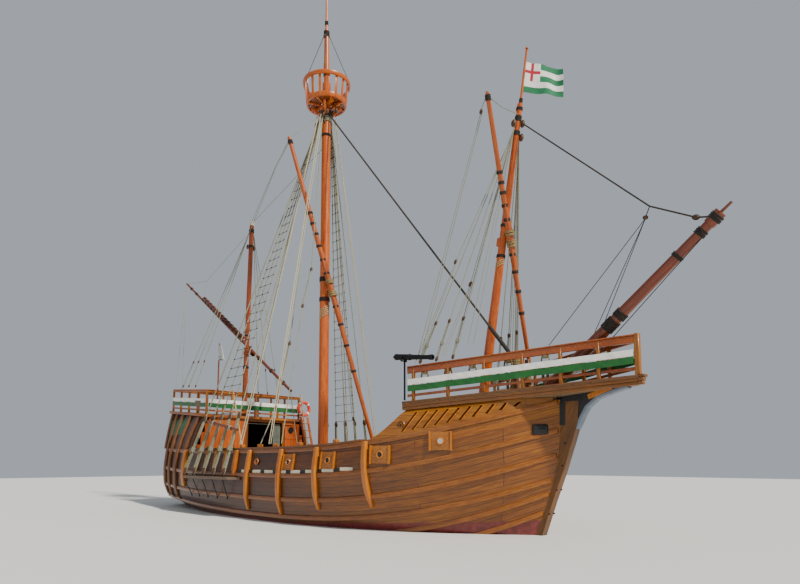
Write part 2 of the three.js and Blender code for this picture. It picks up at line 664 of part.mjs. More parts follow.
const castleSide = at(castleNose).sub(at(castleCorner)).setZ(0).normalize();
const castleOut = [-castleSide.y, castleSide.x, 0];
const castleBand = { low: 270, high: 600 };
for (const [name, mirror] of [["port", (p) => p], ["starboard", flip]]) {
  const strip = clothStrip(
    mirror(castleCorner), castleNose, mirror(castleOut), castleBand.low, castleBand.high,
  );
  add(`forecastle_cloth_${name}`, clearOf(strip, castleRail, sideways), "cloth");
}

// Swivel gun on a post at the aft corner of the platform, with its barrel laid along the rail
const gun = {
  x: 5672, y: -1968, postHalf: 27, postTop: 4650, breech: [5370, -2000, 4720], muzzle: [6740, -2000, 4550],
  band: [6650, -2000, 4561], breechR: 85, muzzleR: 55, bandR: 72,
};
const gunPost = box(
  [gun.x - gun.postHalf, gun.y - gun.postHalf, castleTop(gun.x - gun.postHalf) - 60],
  [gun.x + gun.postHalf, gun.y + gun.postHalf, gun.postTop],
);
add("swivel_gun", clearOf(joined([
  gunPost,
  spar(gun.breech, gun.muzzle, gun.breechR, gun.muzzleR),
  spar(gun.band, gun.muzzle, gun.bandR),
]), castleDeck, upward), "iron");

// Masts
const onMast = (mast, z) => {
  const f = (z - mast.foot[2]) / (mast.head[2] - mast.foot[2]);
  return at(mast.foot).lerp(at(mast.head), f).toArray();
};
const mastR = (mast, z) => {
  const f = (z - mast.foot[2]) / (mast.head[2] - mast.foot[2]);
  return mast.footR + (mast.headR - mast.footR) * f;
};

const sling = { z: 8210, cleatX: -280 };         // where the main yard hangs
const hounds = [45, 135, 225, 315].map((degrees) => {
  const angle = THREE.MathUtils.degToRad(degrees);
  const [x, y] = onMast(mainMast, nestZ);
  const reach = 560;
  const tip = [x + reach * Math.cos(angle), y + reach * Math.sin(angle), nestZ - 30];
  return timber([x, y, nestZ - 470], tip, 90, 120);
});
const slingCleat = box(
  [onMast(mainMast, sling.z)[0], -90, sling.z - 160], [sling.cleatX, 90, sling.z + 160],
);
const nestFloorCut = box([-2000, -2000, nestZ - seam], [1000, 2000, nestZ + 600]);
const mainPole = spar([mainMast.foot[0], 0, deckZ - 40], mainMast.head, mainMast.footR, mainMast.headR);
const houndSolid = joined(hounds).subtract(nestFloorCut);
const mainMastSolid = joined([mainPole, houndSolid, slingCleat]).subtract(belowDeck);
add("main_mast", mainMastSolid, "mastWood");

const topHead = [-600, 0, 18800];
const poleHead = [-620, 0, 20300];
add("main_topmast", clearOf(joined([
  spar(onMast(mainMast, mainMast.head[2] - 40), topHead, 110, 90),
  spar([topHead[0], 0, topHead[2] - 20], poleHead, 55, 40, 8),
]), mainMastSolid, upward), "mastWood");

// Crow's nest: a round floor, flared staves and two hoops
const nest = {
  x: onMast(mainMast, nestZ)[0], floorR: 760, rimR: 930, high: 950, rimHigh: 110, bandHigh: 170, staves: 16,
};
const nestStaves = [];
for (let i = 0; i < nest.staves; i += 1) {
  const angle = 2 * Math.PI * (i + 0.5) / nest.staves;
  const stand = (r, z) => [nest.x + r * Math.cos(angle), r * Math.sin(angle), z];
  const [foot, head] = [stand(nest.floorR - 50, nestZ + 60), stand(nest.rimR - 40, nestZ + nest.high - 50)];
  nestStaves.push(spar(foot, head, 26, 26, 6));
}
const nestHole = mastR(mainMast, nestZ) + 14;
add("crows_nest", joined([
  hoop([nest.x, 0, nestZ], 100, nestHole, nest.floorR, 24),
  hoop([nest.x, 0, nestZ], nest.bandHigh, nest.floorR - 30, nest.floorR + 30, 24),
  hoop([nest.x, 0, nestZ + nest.high - nest.rimHigh], nest.rimHigh, nest.rimR - 75, nest.rimR, 24),
  ...nestStaves,
]), "mastWood");

const foreSling = { z: 7960, cleatX: 7732 };
const foreCleat = box(
  [onMast(foreMast, foreSling.z)[0], -80, foreSling.z - 130], [foreSling.cleatX, 80, foreSling.z + 130],
);
const forePole = spar(onMast(foreMast, foreMast.foot[2] - 60), foreMast.head, foreMast.footR, foreMast.headR);
const foreMastSolid = clearOf(joined([forePole, foreCleat]), castleDeck, upward);
add("fore_mast", foreMastSolid, "mastWood");

const flagstaff = { foot: [8275, 0, 11700], head: [8540, 0, 13310], footR: 38, headR: 30 };
const foreStaff = clearOf(
  spar(flagstaff.foot, flagstaff.head, flagstaff.footR, flagstaff.headR, 8), forePole, upward,
);
add("fore_flagstaff", foreStaff, "mastWood");

const mizzenPole = spar(mizzenMast.foot, mizzenMast.head, mizzenMast.footR, mizzenMast.headR);
// The lateen yard turns on a ring that rests on a shelf round the mast, both square to the mast.
const mizzenAxis = at(mizzenMast.head).sub(at(mizzenMast.foot)).normalize().toArray();
const shelf = { z: 6465, high: 60, r: 165 };
const ringFoot = onMast(mizzenMast, shelf.z + shelf.high + seam);
const shelfSolid = hoop(onMast(mizzenMast, shelf.z), shelf.high, 50, shelf.r, 16, mizzenAxis);
add("mizzen_mast", clearOf(joined([mizzenPole, shelfSolid]), poopDeck, upward), "mastWood");

// Bowsprit, steeved up from a heel on the platform
const sprit = {
  heel: [8940, 0, 3732], collar: [12950, 0, 6923], shoulder: [13210, 0, 7130], tip: [13430, 0, 7290],
};
const bowsprit = clearOf(joined([
  spar(sprit.heel, sprit.shoulder, 165, 105),
  spar(sprit.collar, sprit.shoulder, 132),
  spar(sprit.shoulder, sprit.tip, 35, 30, 8),
]), castleDeck, upward);
add("bowsprit", bowsprit, "sparWood");

// Bitts: two posts and a cross beam that the mainstay is set up to
const bitts = { x: 8130, y: 280, high: 980, half: 65, beamLow: 560, beamHigh: 700 };
const bittFoot = castleTop(bitts.x);
const bittSolid = clearOf(joined([
  ...[-bitts.y, bitts.y].map((y) => box(
    [bitts.x - bitts.half, y - bitts.half, bittFoot - 60],
    [bitts.x + bitts.half, y + bitts.half, bittFoot + bitts.high],
  )),
  box([bitts.x - 50, -520, bittFoot + bitts.beamLow], [bitts.x + 50, 520, bittFoot + bitts.beamHigh]),
]), castleDeck, upward);
add("stay_bitts", bittSolid, "darkWood");

// Yards. The main and fore yards hang topped up, each on a pin that runs fore and aft.
const mainYard = {
  centre: [-120, 0, 8210], top: [-700, -1580, 13730], low: [460, 1580, 2690], midR: 100, endR: 70,
};
const foreYard = {
  centre: [7840, 0, 7960], top: [8210, -1430, 11470], low: [7505, 1300, 4770], midR: 78, endR: 58,
};

function yard({ centre, top, low, midR, endR }, cleatX, pinR) {
  return joined([
    spar(centre, top, midR, endR),
    spar(centre, low, midR, endR),
    spar([cleatX + seam, centre[1], centre[2]], centre, pinR, pinR, 16),
  ]);
}
add("main_yard", yard(mainYard, sling.cleatX, 70), "mastWood");
add("fore_yard", yard(foreYard, foreSling.cleatX, 55), "mastWood");

// The lateen yard is two poles lashed side by side where they overlap.
const lateen = {
  peak: [-12570, 250, 11080], low: [-2910, 250, 4640], r: 75,
  fishAft: [-10710, 290, 9900], fishFore: [-6800, 290, 7293], fishR: 78,
};
const ring = { high: 90, r: 175, hole: mastR(mizzenMast, shelf.z) + 12 };
add("mizzen_yard", joined([
  spar(lateen.peak, lateen.low, lateen.r),
  spar(lateen.fishAft, lateen.fishFore, lateen.fishR),
  hoop(ringFoot, ring.high, ring.hole, ring.r, 16, mizzenAxis),
  box([ringFoot[0] - 50, 150, ringFoot[2] + 12], [ringFoot[0] + 50, 260, ringFoot[2] + 120]),
]), "sparWood");

// Channels and main shrouds on each side, and the shrouds of the foremast
const channelX = { aft: -4750, fore: -850 };
const shroudFeet = [-4480, -3760, -3040, -2320, -1600];
const shroud = { ropeR: 22, tackleR: 62, tackleTop: 0.14, headZ: 15080 };
const foreShroudFeet = [6050, 6500, 6950];
const foreShroud = { ropeR: 17, tackleR: 40, tackleTop: 0.12, headZ: 11050 };
const ratlineAt = [0.25, 0.4, 0.55, 0.7];

function channel(side) {
  const inner = 2600;
  const outline = [
    [channelX.aft, inner], [channelX.aft + 120, 3370], [channelX.fore - 160, 3420], [channelX.fore, inner],
  ];
  const board = slab(outline.map(([x, y]) => [x, side * y]), channelZ - 90, channelZ, 0, 0);
  return clearOf(board, hull, [[0, side, 0], [0, side, 1], [0, side, -1], [1, side, 0], [-1, side, 0]]);
}

// The seized eye of the shrouds, between their heads and the mast
function eyeAt([x, y, z], inward, [halfX, halfZ]) {
  const ends = [y, y - inward];
  return box([x - halfX, Math.min(...ends), z - halfZ], [x + halfX, Math.max(...ends), z + halfZ]);
}

// Shrouds from their feet to one head, each with a tackle at its foot, and ratlines across them
function ropeNet(feet, head, { ropeR, tackleR, tackleTop }, rungs) {
  const point = (foot, f) => at(foot).lerp(at(head), f).toArray();
  const lines = feet.flatMap((foot) => [
    spar(point(foot, 0.001), head, ropeR, ropeR, 4),
    spar(point(foot, 0.0005), point(foot, tackleTop), tackleR, tackleR * 0.7, 6),
  ]);
  const across = rungs.flatMap((f) => feet.slice(1).map((foot, i) => (
    spar(point(feet[i], f), point(foot, f), ropeR * 0.8, ropeR * 0.8, 4)
  )));
  return joined([...lines, ...across]);
}

for (const [name, side] of [["port", 1], ["starboard", -1]]) {
  const board = channel(side);
  add(`channel_${name}`, board, "darkWood");
  const headX = onMast(mainMast, shroud.headZ)[0];
  const headY = side * (mastR(mainMast, shroud.headZ) + 60);
  const feet = shroudFeet.map((x) => [x, side * 3330, channelZ - 20]);
  const eye = eyeAt([headX, headY, shroud.headZ], side * 90, [90, 100]);
  const net = ropeNet(feet, [headX, headY, shroud.headZ], shroud, ratlineAt);
  const offMast = clearOf(net.add(eye), mainMastSolid, allRound);
  add(`main_shrouds_${name}`, clearOf(offMast, board, allRound), "rope");

  const foreHead = onMast(foreMast, foreShroud.headZ);
  foreHead[1] = side * (mastR(foreMast, foreShroud.headZ) + 40);
  const foreFeet = foreShroudFeet.map((x) => {
    const f = (x - castleCorner[0]) / (castleNose[0] - castleCorner[0]);
    return [x, side * castleCorner[1] * (1 - f), castleTop(x) + castleRailHigh - 10];
  });
  const foreNet = ropeNet(foreFeet, foreHead, foreShroud, []).add(eyeAt(foreHead, side * 75, [60, 70]));
  const offForeMast = clearOf(foreNet, foreMastSolid, allRound);
  add(`fore_shrouds_${name}`, clearOf(offForeMast, castleRail, upward), "rope");
}

// Stays
const ahead = [[1, 0, 0]];
const aftAndUp = [[-1, 0, 1]];
const mainStay = clearOf(spar([-300, 0, 15080], [bitts.x, -bitts.y, 4480], 30, 30, 6), mainMastSolid, ahead);
add("main_stay", clearOf(mainStay, bittSolid, aftAndUp), "tarredRope");
const foreStay = clearOf(spar([8190, 0, 11310], [13110, 0, 7060], 22, 22, 8), foreMastSolid, ahead);
add("fore_stay", clearOf(foreStay, bowsprit, aftAndUp), "tarredRope");

// Main hatch with its cover, and the windlass
const hatch = { aft: 1500, fore: 3100, half: 800, high: 320, wall: 90, lid: 60, lap: 30 };
const hatchBox = (grow, low, high) => box(
  [hatch.aft - grow, -hatch.half - grow, deckZ + low], [hatch.fore + grow, hatch.half + grow, deckZ + high],
);
const coaming = hatchBox(0, seam, hatch.high).subtract(hatchBox(-hatch.wall, 0, hatch.high + 50));
add("hatch_coaming", coaming, "deckWood");
add("hatch_cover", hatchBox(hatch.lap, hatch.high + seam, hatch.high + hatch.lid), "deckWood");

const windlass = { x: 4700, z: deckZ + 620, half: 900, barrelR: 150, cheek: 130, journalR: 50 };
const across = (half, r, sides) => spar(
  [windlass.x, -half, windlass.z], [windlass.x, half, windlass.z], r, r, sides,
);
const cheeks = [-windlass.half, windlass.half].map((y) => box(
  [windlass.x - 160, y - windlass.cheek / 2, deckZ + seam],
  [windlass.x + 160, y + windlass.cheek / 2, deckZ + 900],
));
const windlassSill = box(
  [windlass.x - 90, -windlass.half, deckZ + seam], [windlass.x + 90, windlass.half, deckZ + 120],
);
const journalHole = across(windlass.half + 100, windlass.journalR + 0.6, 32);
add("windlass_frame", joined([...cheeks, windlassSill]).subtract(journalHole), "darkWood");
add("windlass_barrel", joined([
  across(windlass.half - windlass.cheek / 2 - seam, windlass.barrelR, 8),
  across(windlass.half + 120, windlass.journalR, 32),
]), "mastWood");

// Ladders
function ladder([footX, footZ], [headX, headZ], y, wide, rungs) {
  const sides = [y - wide / 2, y + wide / 2];
  const stiles = sides.map((side) => timber([footX, side, footZ], [headX, side, headZ], 45, 110));
  const steps = [];
  for (let i = 1; i <= rungs; i += 1) {
    const f = i / (rungs + 1);
    const [x, z] = [footX + f * (headX - footX), footZ + f * (headZ - footZ)];
    steps.push(box([x - 70, y - wide / 2 - 10, z - 18], [x + 70, y + wide / 2 + 10, z + 18]));
  }
  return joined([...stiles, ...steps]).subtract(belowDeck);
}
const poopLadder = ladder([-4250, deckZ - 40], [-4965, 3820], 2400, 360, 7);
add("poop_ladder", clearOf(poopLadder, poopDeck, foreAndAft), "doorWood");
const castleLadder = ladder([5150, deckZ - 40], [5590, 3560], 0, 460, 7);
add("forecastle_ladder", clearOf(castleLadder, castleDeck, foreAndAft), "railWood");

// Flag, ensign and lifebuoy
const staffX = (z) => read([flagstaff.foot, flagstaff.head].map(([x, , height]) => [height, x]), z);
// The flag streams forward and to port, and droops a little.
const flagCloth = { z: 12505, hoist: 850, reach: 760, droop: 190, thick: 28 };
const flagFoot = [staffX(flagCloth.z) + 10, 10, flagCloth.z];
const flagSolid = timber(flagFoot, [
  flagFoot[0] + flagCloth.reach, flagFoot[1] + flagCloth.reach, flagCloth.z - flagCloth.droop,
], flagCloth.thick, flagCloth.hoist);
add("flag", clearOf(flagSolid, foreStaff, [...ahead, ...sideways]), "cloth");

const ensignStaff = spar([-8420, 0, poopTop(-8420) - 40], [-8400, 0, 7300], 38, 30, 8);
const ensignPole = clearOf(ensignStaff, poopDeck, upward);
add("ensign_staff", ensignPole, "mastWood");
const ensign = spar([-8310, 0, 7220], [-8180, 0, 6500], 90, 150, 10);
add("ensign", clearOf(ensign, ensignPole, [...sideways, ...ahead]), "cloth");

// The lifebuoy hangs against the cloth at the front of the poop.
const buoy = { r: 285, tubeR: 70, y: 2395, z: 4180 };
const buoyRing = new THREE.TorusGeometry(buoy.r, buoy.tubeR, 8, 20);
buoyRing.rotateY(Math.PI / 2);
buoyRing.translate(frontX + postHalf + clothThick + buoy.tubeR + 2 * seam, buoy.y, buoy.z);
add("lifebuoy", clearOf(solidOf(buoyRing), poopRail, ahead), "ring");

export default ship;
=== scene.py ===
import math
import bpy
from mathutils import Matrix, Vector


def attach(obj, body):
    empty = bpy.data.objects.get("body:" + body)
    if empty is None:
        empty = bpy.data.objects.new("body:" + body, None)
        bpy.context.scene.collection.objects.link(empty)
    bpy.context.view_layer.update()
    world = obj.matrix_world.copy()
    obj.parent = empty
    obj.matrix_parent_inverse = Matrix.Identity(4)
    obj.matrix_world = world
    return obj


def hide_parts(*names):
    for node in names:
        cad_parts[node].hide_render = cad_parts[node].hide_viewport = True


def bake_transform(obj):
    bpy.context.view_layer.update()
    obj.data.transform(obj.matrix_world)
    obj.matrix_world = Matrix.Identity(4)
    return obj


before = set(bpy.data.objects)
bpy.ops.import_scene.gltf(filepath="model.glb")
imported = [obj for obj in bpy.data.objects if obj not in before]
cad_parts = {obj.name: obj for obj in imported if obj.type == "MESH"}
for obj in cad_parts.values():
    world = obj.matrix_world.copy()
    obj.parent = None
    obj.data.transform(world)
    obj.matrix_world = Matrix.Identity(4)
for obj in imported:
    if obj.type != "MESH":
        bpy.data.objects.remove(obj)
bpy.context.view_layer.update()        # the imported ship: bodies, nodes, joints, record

# A wooden sailing ship with her sails unbent, in metres: +X to the bow, +Y to port, +Z up.
# The floor stands for the water, so it lies at z = 0.

# camera, where the photograph was taken from
camera = {
    "place": (17.19, -13.584, 1.86),
    "heading": 45.381, "tilt": 6.591,            # degrees left of +Y, and up
    "lens": 27.28, "sensor": 36.0,
    "shiftX": 0.0024, "shiftY": 0.1239,
}


def addCamera():
    turn, tilt = math.radians(camera["heading"]), math.radians(camera["tilt"])
    ahead = Vector((-math.sin(turn) * math.cos(tilt), math.cos(turn) * math.cos(tilt), math.sin(tilt)))
    right = Vector((math.cos(turn), math.sin(turn), 0))
    up = right.cross(ahead)
    bpy.ops.object.camera_add(location=camera["place"])
    view = bpy.context.object
    view.matrix_world = Matrix((right, up, -ahead)).transposed().to_4x4()
    view.location = camera["place"]
    view.data.lens = camera["lens"]
    view.data.sensor_width = camera["sensor"]
    view.data.shift_x = camera["shiftX"]
    view.data.shift_y = camera["shiftY"]
    view.data.clip_end = 400
    bpy.context.scene.camera = view


addCamera()
print("camera set")

# small tools used all over
sideWords = ((-1, "Starboard"), (1, "Port"))


def pick(piece, *others):
    if bpy.context.object and bpy.context.object.mode != "OBJECT":
        bpy.ops.object.mode_set(mode="OBJECT")
    bpy.ops.object.select_all(action="DESELECT")
    for other in others:
        other.select_set(True)
    piece.select_set(True)
    bpy.context.view_layer.objects.active = piece


def modify(piece, kind, **settings):
    pick(piece)
    bpy.ops.object.modifier_add(type=kind)
    modifier = piece.modifiers[-1]
    for key, value in settings.items():
        setattr(modifier, key, value)
    bpy.ops.object.modifier_apply(modifier=modifier.name)


def cutOut(piece, cutter):
    modify(piece, "BOOLEAN", object=cutter, operation="DIFFERENCE", solver="EXACT")
    bpy.data.objects.remove(cutter)


def joinAll(pieces):
    if len(pieces) > 1:
        pick(pieces[0], *pieces[1:])
        bpy.ops.object.join()
    return pieces[0]


def putAt(piece, matrix=None):
    if matrix is not None:
        piece.matrix_world = matrix
    pick(piece)
    bpy.ops.object.transform_apply(location=True, rotation=True, scale=True)
    return piece


def tidyMesh(piece, fillHoles=False):
    pick(piece)
    bpy.ops.object.mode_set(mode="EDIT")
    bpy.ops.mesh.select_all(action="SELECT")
    bpy.ops.mesh.remove_doubles(threshold=1e-5)
    if fillHoles:
        bpy.ops.mesh.select_all(action="SELECT")
        bpy.ops.mesh.fill_holes(sides=0)
    bpy.ops.mesh.select_all(action="SELECT")
    bpy.ops.mesh.normals_make_consistent(inside=False)
    bpy.ops.object.mode_set(mode="OBJECT")


# Joins the parts of one piece, names and finishes it, and hands it to the body it moves with
def settle(parts, name, finish, body="ship", smooth=40, stands=None):
    piece = putAt(joinAll(parts) if isinstance(parts, list) else parts)
    piece.name = piece.data.name = name
    piece.data.materials.clear()
    piece.data.materials.append(finishes[finish])
    if smooth:
        bpy.ops.object.shade_smooth_by_angle(angle=math.radians(smooth))
    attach(piece, body)
    if stands:
        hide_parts(stands)
    return piece


def lerp(a, b, f):
    return a + (b - a) * f


def mirrored(point):
    return Vector((point[0], -point[1], point[2]))


def polar(angle, r=1.0, z=0.0):
    return Vector((r * math.cos(angle), r * math.sin(angle), z))


def axisTurn(axis):
    return Vector(axis).to_track_quat("Z", "Y").to_matrix().to_4x4()


# The four corners of a section, in order round it, from its reach in two directions
def boxed(aLow, aHigh, bLow, bHigh):
    return (aLow, bLow), (aLow, bHigh), (aHigh, bHigh), (aHigh, bLow)


# A rod, cone or mast from one point to another
def spar(start, end, startRadius, endRadius=None, sides=16):
    start, end = Vector(start), Vector(end)
    run = end - start
    bpy.ops.mesh.primitive_cone_add(
        vertices=sides, radius1=startRadius, radius2=endRadius if endRadius is not None else startRadius,
        depth=run.length, location=(start + end) / 2, rotation=run.to_track_quat("Z", "Y").to_euler(),
    )
    return bpy.context.object


def ringAt(matrix, major, minor, segments=32, sides=8):
    bpy.ops.mesh.primitive_torus_add(
        major_radius=major, minor_radius=minor, major_segments=segments, minor_segments=sides,
    )
    bpy.context.object.matrix_world = matrix
    return bpy.context.object


def box(matrix, size, edge=0.0, segments=1):
    bpy.ops.mesh.primitive_cube_add(size=1)
    piece = putAt(bpy.context.object, matrix @ Matrix.Diagonal((*size, 1)))
    if edge:
        modify(piece, "BEVEL", width=edge, segments=segments, limit_method="ANGLE")
    return piece


# A squared timber; its height stays in the upright plane that holds it
def timber(start, end, wide, high, edge=0.008):
    start, end = Vector(start), Vector(end)
    run = end - start
    side = Vector((0, 0, 1)).cross(run)
    side = side.normalized() if side.length > 1e-6 else Vector((0, 1, 0))
    turn = Matrix((run.normalized(), side, run.cross(side).normalized())).transposed().to_4x4()
    return box(Matrix.Translation((start + end) / 2) @ turn, (run.length, wide, high), edge)


# A grid laid along stations and rows; place(i, j) gives each corner, lay(i, j) its wood coordinates
def shapedGrid(columns, rows, place, lay):
    bpy.ops.mesh.primitive_grid_add(x_subdivisions=columns, y_subdivisions=rows, size=1)
    piece = bpy.context.object
    for index, vertex in enumerate(piece.data.vertices):
        vertex.co = place(index % (columns + 1), index // (columns + 1))
    layer = piece.data.uv_layers.active
    for spot in layer.data:
        spot.uv = lay(round(spot.uv[0] * columns), round(spot.uv[1] * rows))
    layer.name = "lay"
    return piece


def runningLengths(points):
    lengths = [0.0]
    for before, after in zip(points, points[1:]):
        lengths.append(lengths[-1] + (Vector(after) - Vector(before)).length)
    return lengths


# A timber swept through sections that each list the same number of corners
def sweptTimber(sections, edge=0.0):
    sides = len(sections[0])
    along = runningLengths([section[0] for section in sections])
    around = runningLengths(list(sections[0]) + [sections[0][0]])
    piece = shapedGrid(
        len(sections) - 1, sides, lambda i, j: sections[i][j % sides], lambda i, j: (along[i], around[j]),
    )
    tidyMesh(piece, fillHoles=True)
    if edge:
        modify(piece, "BEVEL", width=edge, segments=2, limit_method="ANGLE", angle_limit=math.radians(35))
    return piece


# colours and nodes
def linear(code):
    parts = [int(code[i:i + 2], 16) / 255 for i in (1, 3, 5)]
    return tuple(v / 12.92 if v <= 0.04045 else ((v + 0.055) / 1.055) ** 2.4 for v in parts) + (1.0,)


def addNode(tree, kind, settings=None, links=None):
    node = tree.nodes.new(kind)
    for key, value in (settings or {}).items():
        if key in node.inputs.keys():
            node.inputs[key].default_value = value
        else:
            setattr(node, key, value)
    for socket, source in (links or {}).items():
        tree.links.new(source, node.inputs[socket])
    return node


def newMaterial(name):
    material = bpy.data.materials.new(name)
    material.use_nodes = True
    tree = material.node_tree
    tree.nodes.clear()
    shader = addNode(tree, "ShaderNodeBsdfPrincipled")
    addNode(tree, "ShaderNodeOutputMaterial", links={"Surface": shader.outputs["BSDF"]})
    return material, tree, shader


def objectSpace(tree):
    return addNode(tree, "ShaderNodeTexCoord").outputs["Object"]


def noise(tree, vector, scale, detail, roughness=0.5, distortion=0.0):
    settings = {"Scale": scale, "Detail": detail, "Roughness": roughness, "Distortion": distortion}
    return addNode(tree, "ShaderNodeTexNoise", settings, {"Vector": vector}).outputs["Fac"]


def mapRange(tree, value, fromMin, fromMax, toMin=0.0, toMax=1.0):
    settings = {"From Min": fromMin, "From Max": fromMax, "To Min": toMin, "To Max": toMax}
    return addNode(tree, "ShaderNodeMapRange", settings, {"Value": value}).outputs[0]


def ramp(tree, factor, stops, name="grades"):
    node = addNode(tree, "ShaderNodeValToRGB", {"label": name}, {"Fac": factor})
    elements = node.color_ramp.elements
    while len(elements) < len(stops):
        elements.new(0.5)
    for element, (where, colour) in zip(elements, stops):
        element.position = where
        element.color = linear(colour) if isinstance(colour, str) else (colour, colour, colour, 1)
    return node.outputs["Color"]


def feed(tree, socket, value):
    if isinstance(value, (int, float)):
        socket.default_value = value
    elif isinstance(value, str):
        socket.default_value = linear(value)
    else:
        tree.links.new(value, socket)


def mixColours(tree, factor, first, second, blend="MIX"):
    node = addNode(tree, "ShaderNodeMix", {"data_type": "RGBA", "blend_type": blend})
    for socket, value in ((node.inputs[0], factor), (node.inputs[6], first), (node.inputs[7], second)):
        feed(tree, socket, value)
    return node.outputs[2]


def maths(tree, operation, *values):
    node = addNode(tree, "ShaderNodeMath", {"operation": operation})
    for socket, value in zip(node.inputs, values):
        feed(tree, socket, value)
    return node.outputs[0]


def dress(tree, shader, colour, height, strength, distance):
    bump = addNode(tree, "ShaderNodeBump", {"Strength": strength, "Distance": distance}, {"Height": height})
    tree.links.new(bump.outputs["Normal"], shader.inputs["Normal"])
    tree.links.new(colour, shader.inputs["Base Color"])


# Wood cut along its grain: broad tone from board to board, ring figure, fine pores.
# tones runs dark to light; axis is the grain, or None for timbers that carry their own lay;
# figure is the ring spacing in mm; coat is the clear varnish over it.
def addWood(name, tones, axis=None, figure=28, coat=0.0, rough=0.45, weather=0.25, planks=None):
    tones = tones.split()
    material, tree, shader = newMaterial(name)
    if axis:
        turn = Vector(axis).to_track_quat("X", "Z").inverted().to_euler()
        turned = addNode(tree, "ShaderNodeMapping", {"Rotation": turn}, {"Vector": objectSpace(tree)})
        base = turned.outputs[0]
    else:
        base = addNode(tree, "ShaderNodeTexCoord").outputs["UV"]
    drawn = addNode(tree, "ShaderNodeMapping", {"Scale": (1 / 14, 1, 1)}, {"Vector": base}).outputs[0]
    broad = noise(tree, drawn, 1.3, 3.0)
    rings = noise(tree, drawn, 1000 / figure, 5.0, 0.62, 0.4)
    pores = noise(tree, drawn, 260.0, 2.0)
    tone = maths(tree, "MULTIPLY_ADD", rings, 0.6, maths(tree, "MULTIPLY", broad, 0.4))
    colour = ramp(tree, tone, [(0.3, tones[0]), (0.48, tones[1]), (0.68, tones[2])], "figure")
    height = maths(tree, "MULTIPLY_ADD", pores, 0.3, rings)
    if planks:        # boards laid edge to edge: length, width and seam in metres
        boards = addNode(tree, "ShaderNodeTexBrick", {
            "Color1": (0.28, 0.28, 0.28, 1), "Color2": (0.74, 0.74, 0.74, 1), "Mortar": (0.5, 0.5, 0.5, 1),
            "Scale": 1.0, "Mortar Size": planks["seam"], "Mortar Smooth": 0.3,
            "Brick Width": planks["long"], "Row Height": planks["wide"],
            "offset": 0.37, "offset_frequency": 3,
        }, {"Vector": base})
        stops = [(0.2, planks["dark"]), (0.8, planks["light"])]
        shade = ramp(tree, boards.outputs["Color"], stops, "board tone")
        colour = mixColours(tree, planks["mix"], colour, shade, "OVERLAY")
        seam = boards.outputs["Fac"]
        colour = mixColours(tree, maths(tree, "MULTIPLY", seam, 0.8), colour, planks["pitch"])
        height = maths(tree, "SUBTRACT", height, maths(tree, "MULTIPLY", seam, 6.0))
    dirt = ramp(tree, noise(tree, base, 2.2, 6.0, 0.7), [(0.45, 0.0), (0.75, 1.0)], "weathering")
    colour = mixColours(tree, maths(tree, "MULTIPLY", dirt, weather), colour, tones[0])
    gloss = ramp(tree, rings, [(0.2, max(rough - 0.12, 0.05)), (0.8, min(rough + 0.15, 1.0))], "gloss")
    tree.links.new(gloss, shader.inputs["Roughness"])
    dress(tree, shader, colour, height, 0.35, 0.0015)
    shader.inputs["Coat Weight"].default_value = coat
    shader.inputs["Coat Roughness"].default_value = 0.14
    shader.inputs["IOR"].default_value = 1.5
    return material, tree, shader, colour


# boards: length, width and seam in metres, then their tones, how strongly these show, and the pitch between
hullBoards = {
    "long": 5.2, "wide": 0.2, "seam": 0.008, "dark": "#5a5a5a", "light": "#a8a8a8",
    "mix": 0.55, "pitch": "#1d0f06",
}
wallBoards = {
    "long": 2.4, "wide": 0.19, "seam": 0.006, "dark": "#5c5c5c", "light": "#a8a8a8",
    "mix": 0.5, "pitch": "#2a1206",
}
deckBoards = {
    "long": 3.6, "wide": 0.14, "seam": 0.006, "dark": "#606060", "light": "#9c9c9c",
    "mix": 0.5, "pitch": "#15110d",
}


# Oak planking under oil varnish with maroon bottom paint; painted shade darkens it aft, where the light
# grazes, and it is left bright at the bow, where the sun falls
def varnishedPlanking():
    material, tree, shader, colour = addWood(
        "varnishedOakPlanking", "#4e2502 #904f05 #bf7a0b", None, 34, 0.15, 0.42, planks=hullBoards,
    )
    here = objectSpace(tree)
    place = addNode(tree, "ShaderNodeSeparateXYZ", links={"Vector": here})
    # painted light and shade: the planking is darkened aft of amidships and stays bright towards the bow
    shadedAft = mixColours(tree, 1.0, colour, "#8a6e4e", "MULTIPLY")
    colour = mixColours(tree, mapRange(tree, place.outputs["X"], 0.0, 6.5), shadedAft, colour)
    lineZ = mapRange(tree, place.outputs["X"], 2.0, 9.0, 0.1, 0.42)
    height = maths(tree, "MULTIPLY_ADD", noise(tree, here, 0.8, 4.0), 0.06, place.outputs["Z"])
    below = mapRange(tree, maths(tree, "SUBTRACT", lineZ, height), -0.01, 0.02)
    stops = [(0.3, "#4e1a18"), (0.6, "#7c2d2a"), (0.78, "#8f4a40")]
    paint = ramp(tree, noise(tree, here, 7.0, 8.0, 0.7), stops, "bottom paint")
    tree.links.new(mixColours(tree, below, colour, paint), shader.inputs["Base Color"])
    return material


